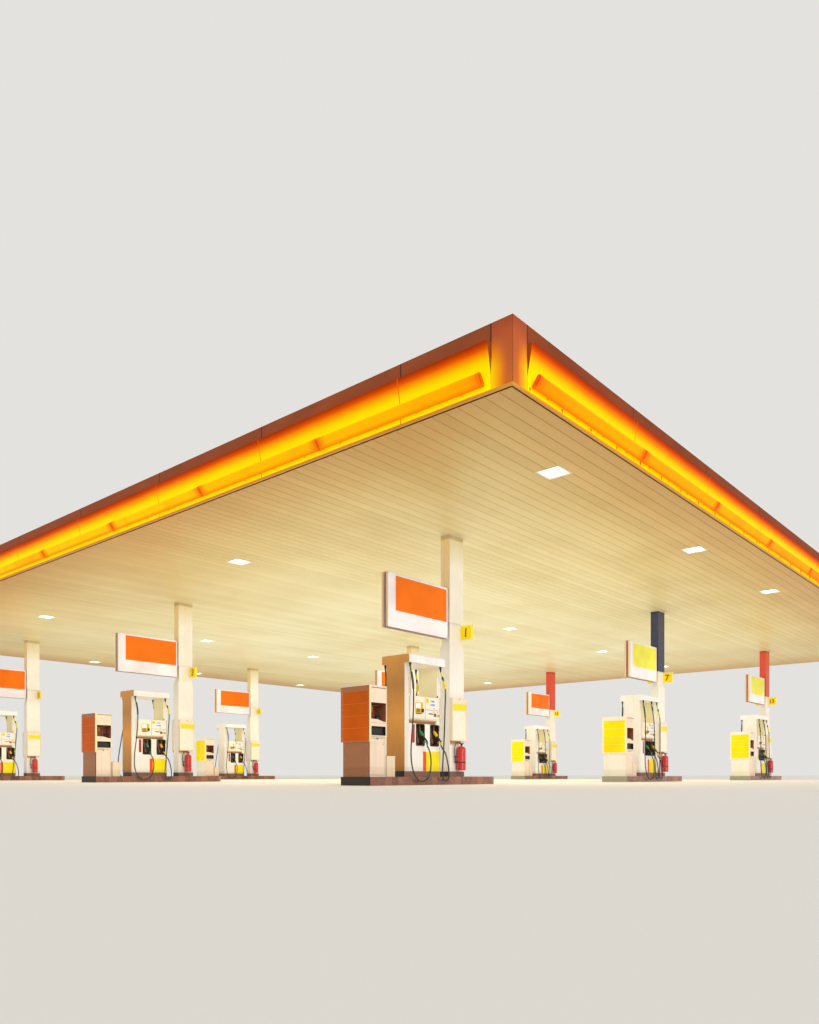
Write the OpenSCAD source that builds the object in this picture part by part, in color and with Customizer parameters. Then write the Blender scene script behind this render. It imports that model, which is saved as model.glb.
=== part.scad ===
// Filling station canopy: a flat roof with a lit cornice on nine columns, with pump islands under it.
// X runs along the islands, Y across them, Z up. The origin is on the ground at the middle of the roof.

/* [Roof] */
// Length of the roof along the islands, over the corner posts
roof_x = 31000; // [28000:100:38000]
// Width of the roof across the islands, over the corner posts
roof_y = 30200; // [27000:100:36500]
// Height of the soffit above the ground
soffit_z = 5400; // [4600:50:6600]
// Thickness of the boarded soffit
soffit_t = 30; // [20:5:50]
// Height of the main beams
beam_h = 400; // [300:10:550]
// Width of the main beams
beam_w = 220; // [160:10:300]
// Flange thickness of the main beams
beam_flange = 20; // [12:1:30]
// Web thickness of the main beams
beam_web = 14; // [8:1:20]
// Height of the purlins that carry the roof sheets
purlin_h = 160; // [120:10:240]
// Width of the purlins
purlin_w = 80; // [60:5:120]
// Number of purlins on each side of the ridge
purlin_n = 5; // [3:1:8]
// Fall of the roof sheets from the ridge to each gutter
roof_fall = 130; // [60:10:200]
// Thickness of the roof sheets
sheet_t = 12; // [8:1:25]

/* [Cornice] */
// Height of the cornice from its lower edge to its top
fascia_h = 900; // [700:10:1200]
// Gap between the soffit and the lower edge of the cornice
fascia_gap = 36; // [20:2:60]
// Thickness of the cornice panels
panel_t = 30; // [15:1:50]
// Height of the plain band along the top
band_h = 255; // [150:5:350]
// Height of the plain strip below the sloping cove
strip_h = 205; // [150:5:260]
// How far the top of the cove stands out
cove_out = 82; // [40:2:140]
// Width of each face of a corner post
post_w = 355; // [250:5:500]
// Length of one cornice panel
panel_len = 3250; // [2400:50:4000]
// Open joint between cornice panels
panel_joint = 6; // [3:1:12]
// Length of one piece of the light bar
bar_len = 3235; // [2400:5:4000]
// Distance from a corner to the end of the first light bar
bar_start = 440; // [400:10:700]

/* [Columns] */
// Spacing of the columns along X
bay_x = 10650; // [9000:50:12800]
// Spacing of the columns along Y
bay_y = 10300; // [8600:50:12400]
// Length of the steel core, along X
core_x = 420; // [340:10:500]
// Width of the steel core, along Y
core_y = 200; // [160:10:260]
// Wall of the steel core
core_wall = 12; // [8:1:20]
// Wall of the casing and the cover round the core
cover_wall = 20; // [3:1:25]
// Depth of the cover on each side of the core
cover_gap = 8; // [4:1:20]
// Height above the ground where the lower casing ends and the neck begins
casing_top = 3060; // [2700:10:3300]
// Height of the chamfer at the top of the lower casing
casing_chamfer = 110; // [60:5:160]
// Height above the ground where the upper cover begins
cover_z = 3490; // [3400:10:3700]

/* [Islands] */
// Length of an island
island_x = 4200; // [3900:50:5200]
// Width of an island
island_y = 785; // [740:5:1000]
// Height of an island above the ground
island_h = 165; // [120:5:200]
// Width of the tiled kerb
kerb_w = 110; // [80:5:150]
// Radius of the kerb at the far end
island_r = 300; // [150:10:360]
// Distance from the square end of an island to the middle of its column
island_back = 2980; // [2900:10:3400]
// Height of the dark skirtings
skirt_h = 115; // [80:5:150]

/* [Service unit] */
// Length of the service unit along the island
unit_x = 460; // [400:10:560]
// Width of the upper part
unit_y = 750; // [650:10:780]
// How far the lower part stands back on each side
unit_step = 30; // [15:5:50]
// Height above the ground of the top of the unit
unit_top = 1890; // [1750:10:2100]
// Wall of the unit
unit_wall = 25; // [18:1:30]
// Thickness of the bin door
door_t = 18; // [14:1:24]
// Running gap round the bin door
door_gap = 6; // [5:1:8]
// Height of the bin door
door_h = 690; // [600:10:700]
// Height above the ground of the lower edge of the end panel
panel_z = 830; // [760:5:900]
// Radius of the hinge pins
pin_r = 5; // [4:0.5:6]
// Running clearance round a hinge pin
pin_gap = 0.1; // [0.02:0.02:0.1]

/* [Dispenser] */
// Length of the dispenser along the island
disp_x = 1140; // [1040:10:1400]
// Depth of the dispenser across the island
disp_y = 490; // [460:10:560]
// Height above the ground of the top of the head
disp_top = 2620; // [2500:10:2800]
// Height of the head
head_h = 180; // [140:10:240]
// Depth of the head across the island
head_y = 735; // [640:5:780]
// Height above the ground of the top of the lower cabinet
cabinet_top = 1245; // [1200:5:1300]
// Width of an end post along the island
end_post = 130; // [90:5:160]
// Diameter of a hose
hose_d = 28; // [24:1:32]
// Lean of a hung nozzle towards the dispenser, in degrees
nozzle_lean = 35; // [30:1:38]

/* [Signs] */
// Length of a sign box along the island
sign_x = 1900; // [1500:10:2200]
// Thickness of a sign box
sign_t = 160; // [100:5:220]
// Height above the ground of the lower edge of a sign box
sign_z = 3140; // [3080:10:3400]
// Height of a sign box
sign_h = 1080; // [800:10:1200]
// Side of a number flag
flag_w = 320; // [240:10:380]
// Thickness of a number flag
flag_t = 50; // [30:5:70]

/* [Hidden] */
$fn = 48;
fit = 0.3;
cut = 1;
step_3 = [-1, 0, 1];
sides = [-1, 1];

// The islands in three rows along X and three along Y
ROWS = [for (i = [0:2], j = [0:2]) [i, j]];
TWO_HOSES = [for (r = ROWS) if (r[0] == 0 || (r[0] == 1 && r[1] > 0)) r];
WHITE = TWO_HOSES;
INDIGO = [[1, 0]];
RED = [for (r = ROWS) if (r[0] == 2) r];
SIGN_YELLOW = [for (r = ROWS) if (r[0] > 0 && r[1] == 0) r];
SIGN_ORANGE = [for (r = ROWS) if (r[0] == 0 || r[1] > 0) r];
END_ORANGE = [for (r = ROWS) if (r[0] == 0) r];
END_YELLOW = [for (r = ROWS) if (r[0] > 0) r];
THREE_HOSES = [for (r = ROWS) if (r[0] == 2 || (r[0] == 1 && r[1] == 0)) r];

// Levels of the roof, from the soffit up
soffit_top = soffit_z + soffit_t;
carrier_h = 60;
frame_s = 60;
rail_h = 120;
board_gap = 40;
sheet_gap = 0.6;
beam_z = soffit_top + carrier_h;
beam_top = beam_z + beam_h;
purlin_span = roof_x / 2 - 800;
gutter_w = 220;
gutter_x = roof_x / 2 - panel_t - frame_s - gutter_w - 10;
fascia_z = soffit_z + fascia_gap;
fascia_top = fascia_z + fascia_h;
fall_angle = atan(roof_fall / purlin_span);
purlin_top = beam_top + roof_fall + purlin_h;

// Cornice section: heights above the lower edge of the cornice
band_z = fascia_h - band_h;

// Light bar: the middle of its foot and of its tip, out from the cornice and above its lower edge
bar_r = 36;
bar_foot = [-50, 88];
bar_tip = [-118, 186];
bar_gap = 12;
bar_dome = 12;
bar_cap = 50;
bracket_n = 4;
bracket_w = 24;

// Column levels
floor_z = island_h;
cap_t = 25;
base_t = 25;
core_top = beam_z;
casing_x = core_x + 2 * (cover_gap + cover_wall + 12);
casing_y = core_y + 2 * (cover_gap + cover_wall + 4);
cover_x = core_x + 2 * (cover_gap + cover_wall);
cover_y = core_y + 2 * (cover_gap + cover_wall) - 8;

// Fire extinguisher
ext_r = 98;
ext_h = 525;
ext_gap = 14;
ext_x = 10;
ext_lift = 140;

// Sign box: white shells on both sides of the arms, with a coloured panel nearer its top and its column end
sign_gap = 14;
sign_end = core_x / 2 + 50;
sign_side = 215;
sign_low = 335;
sign_rim = 35;
sign_face_t = 6;
arm_h = 60;
arm_in = 300;
arm_low = 140;
arm_high = 200;

// Lamps in the soffit
lamp_s = 420;
lamp_h = 110;
lamp_lens = 380;
lamp_lens_h = 40;
lamp_lens_in = 4;
lamp_first = 3050;
lamp_edge = 1190;
// The middle row stands beside the columns, nearer to the service units
lamp_shift = 700;
lamp_pitch = (roof_x - 2 * lamp_first) / 4;
LAMP_X = [for (i = [-2:2]) i * lamp_pitch - (i == 0 ? lamp_shift : 0)];
LAMP_Y = [-roof_y / 2 + lamp_edge, -bay_y / 2, bay_y / 2, roof_y / 2 - lamp_edge];

// Service unit: the far end of the unit lies on the square end of the island
unit_x0 = -island_back + 10;
door_side = 15;
hinge_gap = 8;
door_w = unit_x - 2 * door_side - hinge_gap - door_gap;
door_z = floor_z + 40;
door_top = door_z + door_h;
unit_split = door_top + 30;
lower_y = unit_y - 2 * unit_step;
door_x0 = door_side + hinge_gap;
pin_in = 12;
pin_l = 8;
pin_end = 3;
notch_w = 60;
notch_h = 20;
slot_z = unit_split + 35;
slot_h = 155;
recess_z = 1200;
recess_h = 370;
recess_d = 300;
// Frame round the coloured end panel, and the grooves that part the panel in four
rim_out = 27;
rim_in = 22;
rim_side = 6;
rim_w = 38;
rim_top = 105;
rim_low = 30;
end_panel_t = 8;
end_panel_in = 2;
groove_w = 5;
groove_d = 3;
utility_gap = 45;

// Dispenser: centre of the dispenser measured from the middle of the column
disp_c = -1275;
plinth_x = disp_x - 10;
plinth_y = disp_y - 20;
cabinet_z = floor_z + skirt_h;
ledge_h = 75;
module_z = cabinet_top + ledge_h;
module_h = 480;
module_w = disp_x - 2 * end_post;
// Two bezels on each face of the display module, the second one over the end post
bezel_w = module_w / 2 + 30;
BEZELS = [-module_w / 2 + 18, -module_w / 2 + 24 + bezel_w];
bezel_t = 14;
bezel_z = 30;
lip = 10;
head_z = disp_top - head_h;
boot_z = 800;
boot_h = 437;
boot_d = 110;
boot_wall = 6;
// Each boot is [middle along X, width], seen from the -Y side of a dispenser
BOOTS = [[-90, 262], [365, 275]];
MID_BOOT = [137, 160];
swivel_z = 2370;
swivel_r = 20;

// Hung nozzle: the tail takes the end of the hose, and the handle above it leans in and to one side
tail_z = 830;
tail_shift = 30;
tail_out = 155;
tail_h = 50;
nozzle_side = 12;
handle_r = 16;
valve_r = 31;
valve_z = 150;
nozzle_l = 290;
spout_r = 12;
spout_in = [-4, 42, -10];
spout_down = [0, 12, -135];
guard_t = 14;
trigger_t = 12;
// Outlines of the guard, of the gap in it and of the trigger, as [away from the handle, along the handle].
// The guard is seated on the handle below and on the valve body above
guard_foot = handle_r + 2 + fit;
guard_seat = valve_r + fit;
GUARD = [[guard_foot, 14], [56, 14], [84, 42], [86, 138], [68, 182], [guard_seat, 182],
    [guard_seat, 166], [guard_foot, 60]];
GUARD_GAP = [[0, 24], [52, 24], [74, 46], [76, 134], [60, 170], [0, 170]];
TRIGGER = [[10, 160], [28, 160], [48, 62], [41, 58], [24, 116], [10, 130]];

// Hose routes, seen from the -Y side of a dispenser and measured from its middle: from the swivel under
// the head, down past the kerb, and up again to the tail of the nozzle
GREEN_ROUTE = [
    [-505, -335, 2370], [-470, -345, 2220], [-448, -365, 2000], [-466, -390, 1600], [-515, -410, 1230],
    [-572, -425, 860], [-595, -440, 540], [-545, -455, 270], [-415, -470, 105], [-255, -475, 75],
    [-95, -468, 160], [5, -450, 400], [5, -425, 660], [-60, -400, 830]
];
YELLOW_ROUTE = [
    [455, -335, 2370], [500, -350, 2230], [548, -375, 2060], [538, -400, 1860], [506, -414, 1560],
    [473, -430, 1220], [427, -446, 820], [377, -458, 430], [362, -464, 200], [393, -470, 114],
    [470, -472, 82], [547, -468, 114], [578, -460, 200], [570, -448, 400], [505, -425, 650],
    [395, -400, 830]
];
BLACK_ROUTE = [
    [75, -335, 2370], [110, -350, 2200], [135, -375, 1950], [133, -398, 1600], [120, -412, 1230],
    [100, -426, 860], [86, -444, 540], [84, -456, 300], [94, -464, 190], [130, -470, 112],
    [195, -472, 84], [262, -470, 116], [298, -462, 200], [298, -448, 400], [245, -424, 660],
    [167, -400, 830]
];
hose_sides = 8;
hose_face = 360 / hose_sides;

function row_x(r) = (r[0] - 1) * bay_x;
function row_y(r) = (r[1] - 1) * bay_y;

// Places its children at the middle of the column of each island in a list
module at_islands(list) {
    for (r = list) translate([row_x(r), row_y(r), 0]) children();
}

// Draws its children on the -Y face of a piece and again on its +Y face
module both_faces() {
    for (m = [0, 1]) mirror([0, m, 0]) children();
}

// Draws its children on both faces of a dispenser
module both_sides() {
    translate([disp_c, 0, 0]) both_faces() children();
}

// A box centred in X and Y that stands on z0
module block(x, y, z0, h) {
    translate([-x / 2, -y / 2, z0]) cube([x, y, h]);
}

// A rectangular tube centred in X and Y
module box_tube(x, y, wall, z0, h) {
    difference() {
        block(x, y, z0, h);
        block(x - 2 * wall, y - 2 * wall, z0 - cut, h + 2 * cut);
    }
}

// Draws its children, a run along +X with its outer face on y = 0, on all four sides of the roof
module four_sides() {
    for (s = sides) {
        rotate([0, 0, s > 0 ? 180 : 0]) translate([0, -roof_y / 2, 0]) children(0);
        rotate([0, 0, s > 0 ? 90 : -90]) translate([0, -roof_x / 2, 0]) children(1);
    }
}

// Section of a rolled beam, standing on the X axis
module i_section(h, w, flange, web) {
    translate([-w / 2, 0]) square([w, flange]);
    translate([-w / 2, h - flange]) square([w, flange]);
    translate([-web / 2, 0]) square([web, h]);
}

module main_beams() {
    length = roof_x - 2 * (panel_t + frame_s);
    color("dimgray")
    for (j = step_3) translate([-length / 2, j * bay_y, beam_z])
        rotate([90, 0, 90]) linear_extrude(length) i_section(beam_h, beam_w, beam_flange, beam_web);
}

module purlins() {
    length = roof_y - 2 * (panel_t + frame_s);
    color("silver")
    for (k = [-purlin_n:purlin_n]) {
        x = k * purlin_span / purlin_n;
        lift = roof_fall * (1 - abs(k) / purlin_n);
        bottom = beam_top + lift;
        translate([x, length / 2, bottom]) rotate([90, 0, 0]) linear_extrude(length)
            i_section(purlin_h, purlin_w, 8, 6);
        if (lift > 0)
            for (j = step_3) translate([x, j * bay_y, 0]) block(purlin_w, purlin_w, beam_top, lift);
    }
}

module roof_sheets() {
    run = gutter_x + 60;
    width = roof_y - 2 * (panel_t + frame_s) - 20;
    seam = 1000;
    seam_w = 40;
    seam_h = 30;
    seam_n = floor((width - seam_w) / 2 / seam);
    color("lightgray")
    for (a = [0, 180]) rotate([0, 0, a])
        translate([2, 0, purlin_top + sheet_gap]) rotate([0, fall_angle, 0]) {
            translate([0, -width / 2, 0]) cube([run, width, sheet_t]);
            for (k = [-seam_n:seam_n])
                translate([0, k * seam - seam_w / 2, sheet_t]) cube([run, seam_w, seam_h]);
        }
}

module gutters() {
    length = roof_y - 2 * (panel_t + frame_s) - 20;
    depth = purlin_h - 15;
    color("gray")
    for (a = [0, 180]) rotate([0, 0, a]) translate([gutter_x, length / 2, beam_top])
        rotate([90, 0, 0]) linear_extrude(length) difference() {
            square([gutter_w, depth]);
            translate([5, 5]) square([gutter_w - 10, depth]);
        }
}

// Ladder of two rails and upright posts behind the cornice of one side
module ladder(length, side) {
    n = floor((side / 2 - post_w) / panel_len);
    top = fascia_top - 40;
    translate([-length / 2, panel_t, soffit_top]) cube([length, frame_s, rail_h]);
    translate([-length / 2, panel_t, top - frame_s]) cube([length, frame_s, frame_s]);
    for (k = [-n:n]) translate([k * panel_len - frame_s / 2, panel_t, soffit_top])
        cube([frame_s, frame_s, top - soffit_top - cut]);
}

module fascia_frame() {
    color("slategray")
    four_sides() {
        ladder(roof_x - 2 * panel_t, roof_x);
        ladder(roof_y - 2 * (panel_t + frame_s + fit), roof_y);
    }
}

module soffit_carriers() {
    length = roof_y - 2 * (panel_t + frame_s) - 4;
    n = floor((roof_x / 2 - 300) / 1200);
    color("silver")
    difference() {
        for (k = [-n:n - 1]) translate([k * 1200 + 600 - 20, -length / 2, soffit_top])
            cube([40, length, carrier_h]);
        at_islands(ROWS) block(core_x + 60, core_y + 60, soffit_top - cut, carrier_h + 2 * cut);
        for (x = LAMP_X, y = LAMP_Y) translate([x, y, 0])
            block(lamp_s + 40, lamp_s + 40, soffit_top - cut, carrier_h + 2 * cut);
    }
}

module soffit_boards() {
    x = roof_x - 2 * (panel_t + board_gap);
    y = roof_y - 2 * (panel_t + board_gap);
    color("wheat")
    difference() {
        block(x, y, soffit_z, soffit_t);
        at_islands(ROWS) block(core_x + 10, core_y + 10, soffit_z - cut, soffit_t + 2 * cut);
        for (x = LAMP_X, y = LAMP_Y) translate([x, y, 0])
            block(lamp_lens, lamp_lens, soffit_z - cut, soffit_t + 2 * cut);
    }
}

// Strip that closes the cornice below, beside the shadow gap round the soffit
module soffit_trim() {
    color("burlywood")
    four_sides() {
        translate([-roof_x / 2, 0, soffit_z]) cube([roof_x, panel_t, fascia_gap]);
        translate([-roof_y / 2 + panel_t + fit, 0, soffit_z])
            cube([roof_y - 2 * (panel_t + fit), panel_t, fascia_gap]);
    }
}

module lamp_housings() {
    color("silver")
    for (x = LAMP_X, y = LAMP_Y) translate([x, y, 0]) difference() {
        block(lamp_s, lamp_s, soffit_top, lamp_h - soffit_t);
        block(lamp_lens, lamp_lens, soffit_top - cut, lamp_h - soffit_t - 10);
    }
}

module lamp_lenses() {
    color("ivory")
    for (x = LAMP_X, y = LAMP_Y) translate([x, y, 0])
        block(lamp_lens - 2 * fit, lamp_lens - 2 * fit, soffit_z + lamp_lens_in, lamp_lens_h);
}

// Joints of a long side, from its first post: whole panels from both posts, and short ones in the middle
function long_joints(clear) =
    let (n = floor(clear / 2 / panel_len - 0.2), rest = clear - 2 * n * panel_len)
    concat([for (k = [0:n]) k * panel_len], rest > panel_len ? [clear / 2] : [],
        [for (k = [n:-1:0]) clear - k * panel_len]);

// Joints of a short side: a half panel at each end and whole ones between them
function short_joints(clear) =
    let (n = round(clear / panel_len))
    concat([0], [for (k = [1:n]) (k - 0.5) * clear / n], [clear]);

// One run of panels between joints, from post to post, drawn with its outer face on y = 0
module panel_run(clear, joints) {
    for (k = [0:len(joints) - 2])
        translate([-clear / 2 + joints[k] + panel_joint / 2, 0, fascia_z]) rotate([90, 0, 90])
            linear_extrude(joints[k + 1] - joints[k] - panel_joint) children();
}

// The same panels on all four sides
module panels() {
    long = roof_x - 2 * post_w;
    short = roof_y - 2 * post_w;
    four_sides() {
        panel_run(long, long_joints(long)) children();
        panel_run(short, short_joints(short)) children();
    }
}

module fascia_bands() {
    color("sienna") panels() translate([0, band_z]) square([panel_t, band_h]);
}

// Section of the cove: a plain strip, then a face that slopes out to a sharp top edge
module cove_section() {
    polygon([[0, 0], [0, strip_h], [-cove_out, band_z], [panel_t, band_z], [panel_t, 0]]);
}

module cove_panels() {
    color("orange") panels() cove_section();
}

// Section of the light bar: a long oval that leans out at its top
module bar_section(r) {
    along = bar_tip - bar_foot;
    translate(bar_foot) rotate(atan2(along[1], along[0])) {
        circle(r);
        translate([norm(along), 0]) circle(r);
        translate([0, -r]) square([norm(along), 2 * r]);
    }
}

// One light bar: a tube with a stepped cap on each end, on brackets from the cornice
module light_bar(run) {
    rotate([90, 0, 90]) {
        linear_extrude(run) bar_section(bar_r);
        for (z = [0, run - bar_cap]) translate([0, 0, z]) linear_extrude(bar_cap) bar_section(bar_r + 3);
        translate([0, 0, -bar_dome]) linear_extrude(run + 2 * bar_dome) bar_section(bar_r - 8);
        for (k = [0.5:bracket_n - 0.5]) translate([0, 0, k * run / bracket_n - bracket_w / 2])
            linear_extrude(bracket_w)
            polygon([[0, bar_foot[1] - 28], bar_foot - [0, 18], bar_foot + [0, 12], [0, bar_foot[1] + 22]]);
    }
}

module bar_run(length) {
    clear = length - 2 * bar_start;
    n = round(clear / bar_len);
    pitch = clear / n;
    inset = bar_dome + bar_gap / 2;
    for (k = [0:n - 1])
        translate([-clear / 2 + k * pitch + inset, 0, fascia_z]) light_bar(pitch - 2 * inset);
}

module light_bars() {
    color("darkorange")
    four_sides() {
        bar_run(roof_x);
        bar_run(roof_y);
    }
}

module corner_posts() {
    color("chocolate")
    for (mx = [0, 1], my = [0, 1]) mirror([mx, 0, 0]) mirror([0, my, 0])
        translate([-roof_x / 2, -roof_y / 2, fascia_z])
        difference() {
            cube([post_w, post_w, fascia_h]);
            translate([panel_t, panel_t, -cut]) cube([post_w, post_w, fascia_h + 2 * cut]);
        }
}

module columns() {
    color("gainsboro")
    at_islands(ROWS) {
        block(casing_x - 2 * cover_wall - 4, casing_y - 2 * cover_wall - 4, floor_z, base_t);
        box_tube(core_x, core_y, core_wall, floor_z + base_t, core_top - cap_t - floor_z - base_t);
        block(core_x, core_y, core_top - cap_t, cap_t);
    }
}

module column_casings() {
    straight = casing_top - casing_chamfer - floor_z;
    color("whitesmoke")
    at_islands(ROWS) difference() {
        union() {
            block(casing_x, casing_y, floor_z, straight);
            casing_hood(casing_top - casing_chamfer);
        }
        block(casing_x - 2 * cover_wall, casing_y - 2 * cover_wall, floor_z - cut, straight - 20);
        block(core_x + 2 * fit, core_y + 2 * fit, floor_z - cut, casing_top);
    }
}

// Sloping hood at the top of the casing, down to the neck
module casing_hood(z0) {
    slope_y = (casing_y - core_y) / 2;
    slope_x = (casing_x - core_x) / 2;
    intersection() {
        translate([-casing_x / 2, 0, z0]) rotate([90, 0, 90]) linear_extrude(casing_x)
            polygon([[-casing_y / 2, 0], [casing_y / 2, 0], [casing_y / 2 - slope_y + 4, casing_chamfer],
                [-casing_y / 2 + slope_y - 4, casing_chamfer]]);
        translate([0, casing_y / 2, z0]) rotate([90, 0, 0]) linear_extrude(casing_y)
            polygon([[-casing_x / 2, 0], [casing_x / 2, 0], [casing_x / 2 - slope_x + 4, casing_chamfer],
                [-casing_x / 2 + slope_x - 4, casing_chamfer]]);
    }
}

// Cover round the upper part of a column, from the neck to the soffit
module column_cover() {
    difference() {
        block(cover_x, cover_y, cover_z, soffit_z - cover_z);
        block(core_x + 2 * fit, core_y + 2 * fit, cover_z - cut, soffit_z);
    }
}

module column_covers_white() {
    color("linen") at_islands(WHITE) column_cover();
}

module column_cover_indigo() {
    color("darkslateblue") at_islands(INDIGO) column_cover();
}

module column_covers_red() {
    color("orangered") at_islands(RED) column_cover();
}

module column_skirtings() {
    color("dimgray")
    at_islands(ROWS) difference() {
        block(casing_x + 12, casing_y + 12, floor_z, skirt_h);
        block(casing_x + 2 * fit, casing_y + 2 * fit, floor_z - cut, skirt_h + 2 * cut);
    }
}

// Outline of an island, drawn in by some distance: square at one end, round corners at the other
module island_outline(inset) {
    x0 = -island_back + inset;
    x1 = island_x - island_back - inset;
    w = island_y - 2 * inset;
    r = island_r - inset;
    translate([x0, -w / 2]) square([x1 - x0 - r, w]);
    translate([x1 - r, -w / 2 + r]) square([r, w - 2 * r]);
    for (s = sides) translate([x1 - r, s * (w / 2 - r)]) circle(r);
}

module island_kerbs() {
    color("saddlebrown")
    at_islands(ROWS) linear_extrude(island_h) difference() {
        island_outline(0);
        island_outline(kerb_w);
    }
}

module island_decks() {
    color("darkgray")
    at_islands(ROWS) linear_extrude(island_h) island_outline(kerb_w + fit);
}

// Shallow case for a poster on each side of a column, with a stripe along its top and a small box under it
module poster_cases() {
    w = 510;
    h = 920;
    z0 = 940;
    depth = 80;
    rim = 22;
    window = 12;
    stripe_low = 663;
    stripe_high = 792;
    bar = 10;
    box = [300, 58, 62];
    color("whitesmoke")
    at_islands(ROWS) both_faces() translate([0, -casing_y / 2, z0]) {
        difference() {
            translate([-w / 2, -depth, 0]) cube([w, depth, h]);
            for (z = [[rim, stripe_low - bar], [stripe_low, stripe_high]])
                translate([-w / 2 + rim, -depth - cut, z[0]])
                    cube([w - 2 * rim, window + cut, z[1] - z[0]]);
        }
        translate([-w / 2 + 20, -box[1], -box[2] - fit]) cube(box);
    }
}

module extinguisher_place() {
    at_islands(ROWS) both_faces()
        translate([ext_x, -casing_y / 2 - ext_r - ext_gap, floor_z + ext_lift]) children();
}

// Steel bottle with a foot ring and a shoulder, on two brackets
module extinguishers() {
    shoulder = 62;
    neck = 20;
    foot = 14;
    bracket = [60, 20 + ext_gap, 30];
    color("red")
    extinguisher_place() {
        rotate_extrude() polygon([[0, foot], [ext_r - 12, foot], [ext_r - 12, 0], [ext_r - 4, 0],
            [ext_r, foot], [ext_r, ext_h - shoulder], [ext_r - 10, ext_h - shoulder * 0.6],
            [ext_r - 40, ext_h - shoulder * 0.2], [neck, ext_h], [0, ext_h]]);
        for (z = [80, 340]) translate([-bracket[0] / 2, ext_r - 20, z]) cube(bracket);
    }
}

module extinguisher_valves() {
    color("black")
    extinguisher_place() translate([0, 0, ext_h]) {
        cylinder(r = 16, h = 40);
        translate([-14, -60, 40]) cube([28, 90, 14]);
        translate([-12, -70, 62]) cube([24, 90, 8]);
        translate([-10, 8, 50]) cube([20, 20, 14]);
    }
}

module sign_cases() {
    color("whitesmoke")
    at_islands(ROWS) both_faces()
        translate([-sign_end - sign_x, sign_gap / 2, sign_z])
            cube([sign_x, (sign_t - sign_gap) / 2, sign_h]);
}

// Coloured face of a sign box, proud of the white case
module sign_face() {
    both_faces() translate([-sign_end - sign_x + sign_side, sign_t / 2, sign_z + sign_low])
        cube([sign_x - sign_side - sign_rim, sign_face_t, sign_h - sign_low - sign_rim]);
}

module sign_panels_orange() {
    color("orangered") at_islands(SIGN_ORANGE) sign_face();
}

module sign_panels_yellow() {
    color("gold") at_islands(SIGN_YELLOW) sign_face();
}

// Arms from the neck of the column, between the two shells of the sign box
module sign_arms() {
    color("gray")
    at_islands(ROWS) for (z = [sign_z + arm_low, sign_z + sign_h - arm_high]) {
        reach = z < cover_z ? -core_x / 2 : -cover_x / 2;
        translate([-sign_end - arm_in, -sign_gap / 2, z])
            cube([reach + sign_end + arm_in, sign_gap, arm_h]);
    }
}

module number_flags() {
    color("gold")
    at_islands(ROWS) both_faces()
        translate([core_x / 2 - flag_t - 10, -core_y / 2 - flag_w, sign_z]) cube([flag_t, flag_w, flag_w]);
}

// Lower part of a service unit: a box round the bin, with a doorway on one side
module unit_lower() {
    difference() {
        translate([0, -lower_y / 2, floor_z]) cube([unit_x, lower_y, unit_split - fit - floor_z]);
        translate([unit_wall, -lower_y / 2 + unit_wall, door_z - 10])
            cube([unit_x - 2 * unit_wall, lower_y - 2 * unit_wall, unit_split]);
        // Door opening, with the hinge at the end of the island
        translate([door_side, -lower_y / 2 - cut, door_z - door_gap])
            cube([unit_x - 2 * door_side, unit_wall + 2 * cut, door_h + 2 * door_gap]);
        // Hinge bores in the sill and the rail
        for (z = [door_z - door_gap - pin_l - pin_end, door_top + door_gap - cut])
            translate([door_x0 + pin_in, -lower_y / 2 + door_t / 2, z])
                cylinder(r = pin_r + pin_gap, h = pin_l + pin_end + cut);
        // Groove round the fixed panel on the other side
        translate([door_side, lower_y / 2 - groove_d, door_z]) difference() {
            cube([unit_x - 2 * door_side, groove_d + cut, door_h]);
            translate([groove_w, -cut, groove_w])
                cube([unit_x - 2 * door_side - 2 * groove_w, groove_d + 3 * cut, door_h - 2 * groove_w]);
        }
    }
}

// Upper part: waste slots through both sides, a shelf recess in each, and a frame at the end for the panel
module unit_upper() {
    difference() {
        union() {
            translate([0, -unit_y / 2, unit_split]) cube([unit_x, unit_y, unit_top - unit_split]);
            translate([-rim_out, -unit_y / 2 - rim_side, panel_z])
                cube([rim_out + rim_in, unit_y + 2 * rim_side, unit_top - panel_z + rim_side]);
        }
        // The lower part stands in the mouth of the upper one
        translate([-fit, -lower_y / 2 - fit, panel_z - cut])
            cube([unit_x + cut, lower_y + 2 * fit, unit_split - panel_z + cut]);
        translate([unit_wall, -lower_y / 2 + unit_wall, unit_split - cut])
            cube([unit_x - 2 * unit_wall, lower_y - 2 * unit_wall, slot_z + slot_h - unit_split + cut]);
        translate([unit_wall + 20, -unit_y / 2 - cut, slot_z])
            cube([unit_x - 2 * unit_wall - 40, unit_y + 2 * cut, slot_h]);
        both_faces() translate([unit_wall, -unit_y / 2 - cut, recess_z])
            cube([unit_x - 2 * unit_wall, recess_d + cut, recess_h]);
        translate([-rim_out - cut, -unit_y / 2 + rim_w, panel_z + rim_low])
            cube([end_panel_t + end_panel_in + cut, unit_y - 2 * rim_w,
                unit_top - panel_z - rim_low - rim_top]);
    }
}

module service_cabinets() {
    color("linen") at_islands(ROWS) translate([unit_x0, 0, 0]) {
        unit_lower();
        unit_upper();
    }
}

// Coloured end panel, parted in four by grooves
module service_panel() {
    w = unit_y - 2 * (rim_w + fit);
    h = unit_top - panel_z - rim_low - rim_top - 2 * fit;
    translate([unit_x0 - rim_out + end_panel_in, -w / 2, panel_z + rim_low + fit]) difference() {
        cube([end_panel_t, w, h]);
        for (k = [1:3]) translate([-cut, -cut, k * h / 4 - groove_w / 2])
            cube([groove_d + cut, w + 2 * cut, groove_w]);
    }
}

module service_panels_orange() {
    color("orangered") at_islands(END_ORANGE) service_panel();
}

module service_panels_yellow() {
    color("gold") at_islands(END_YELLOW) service_panel();
}

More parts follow.
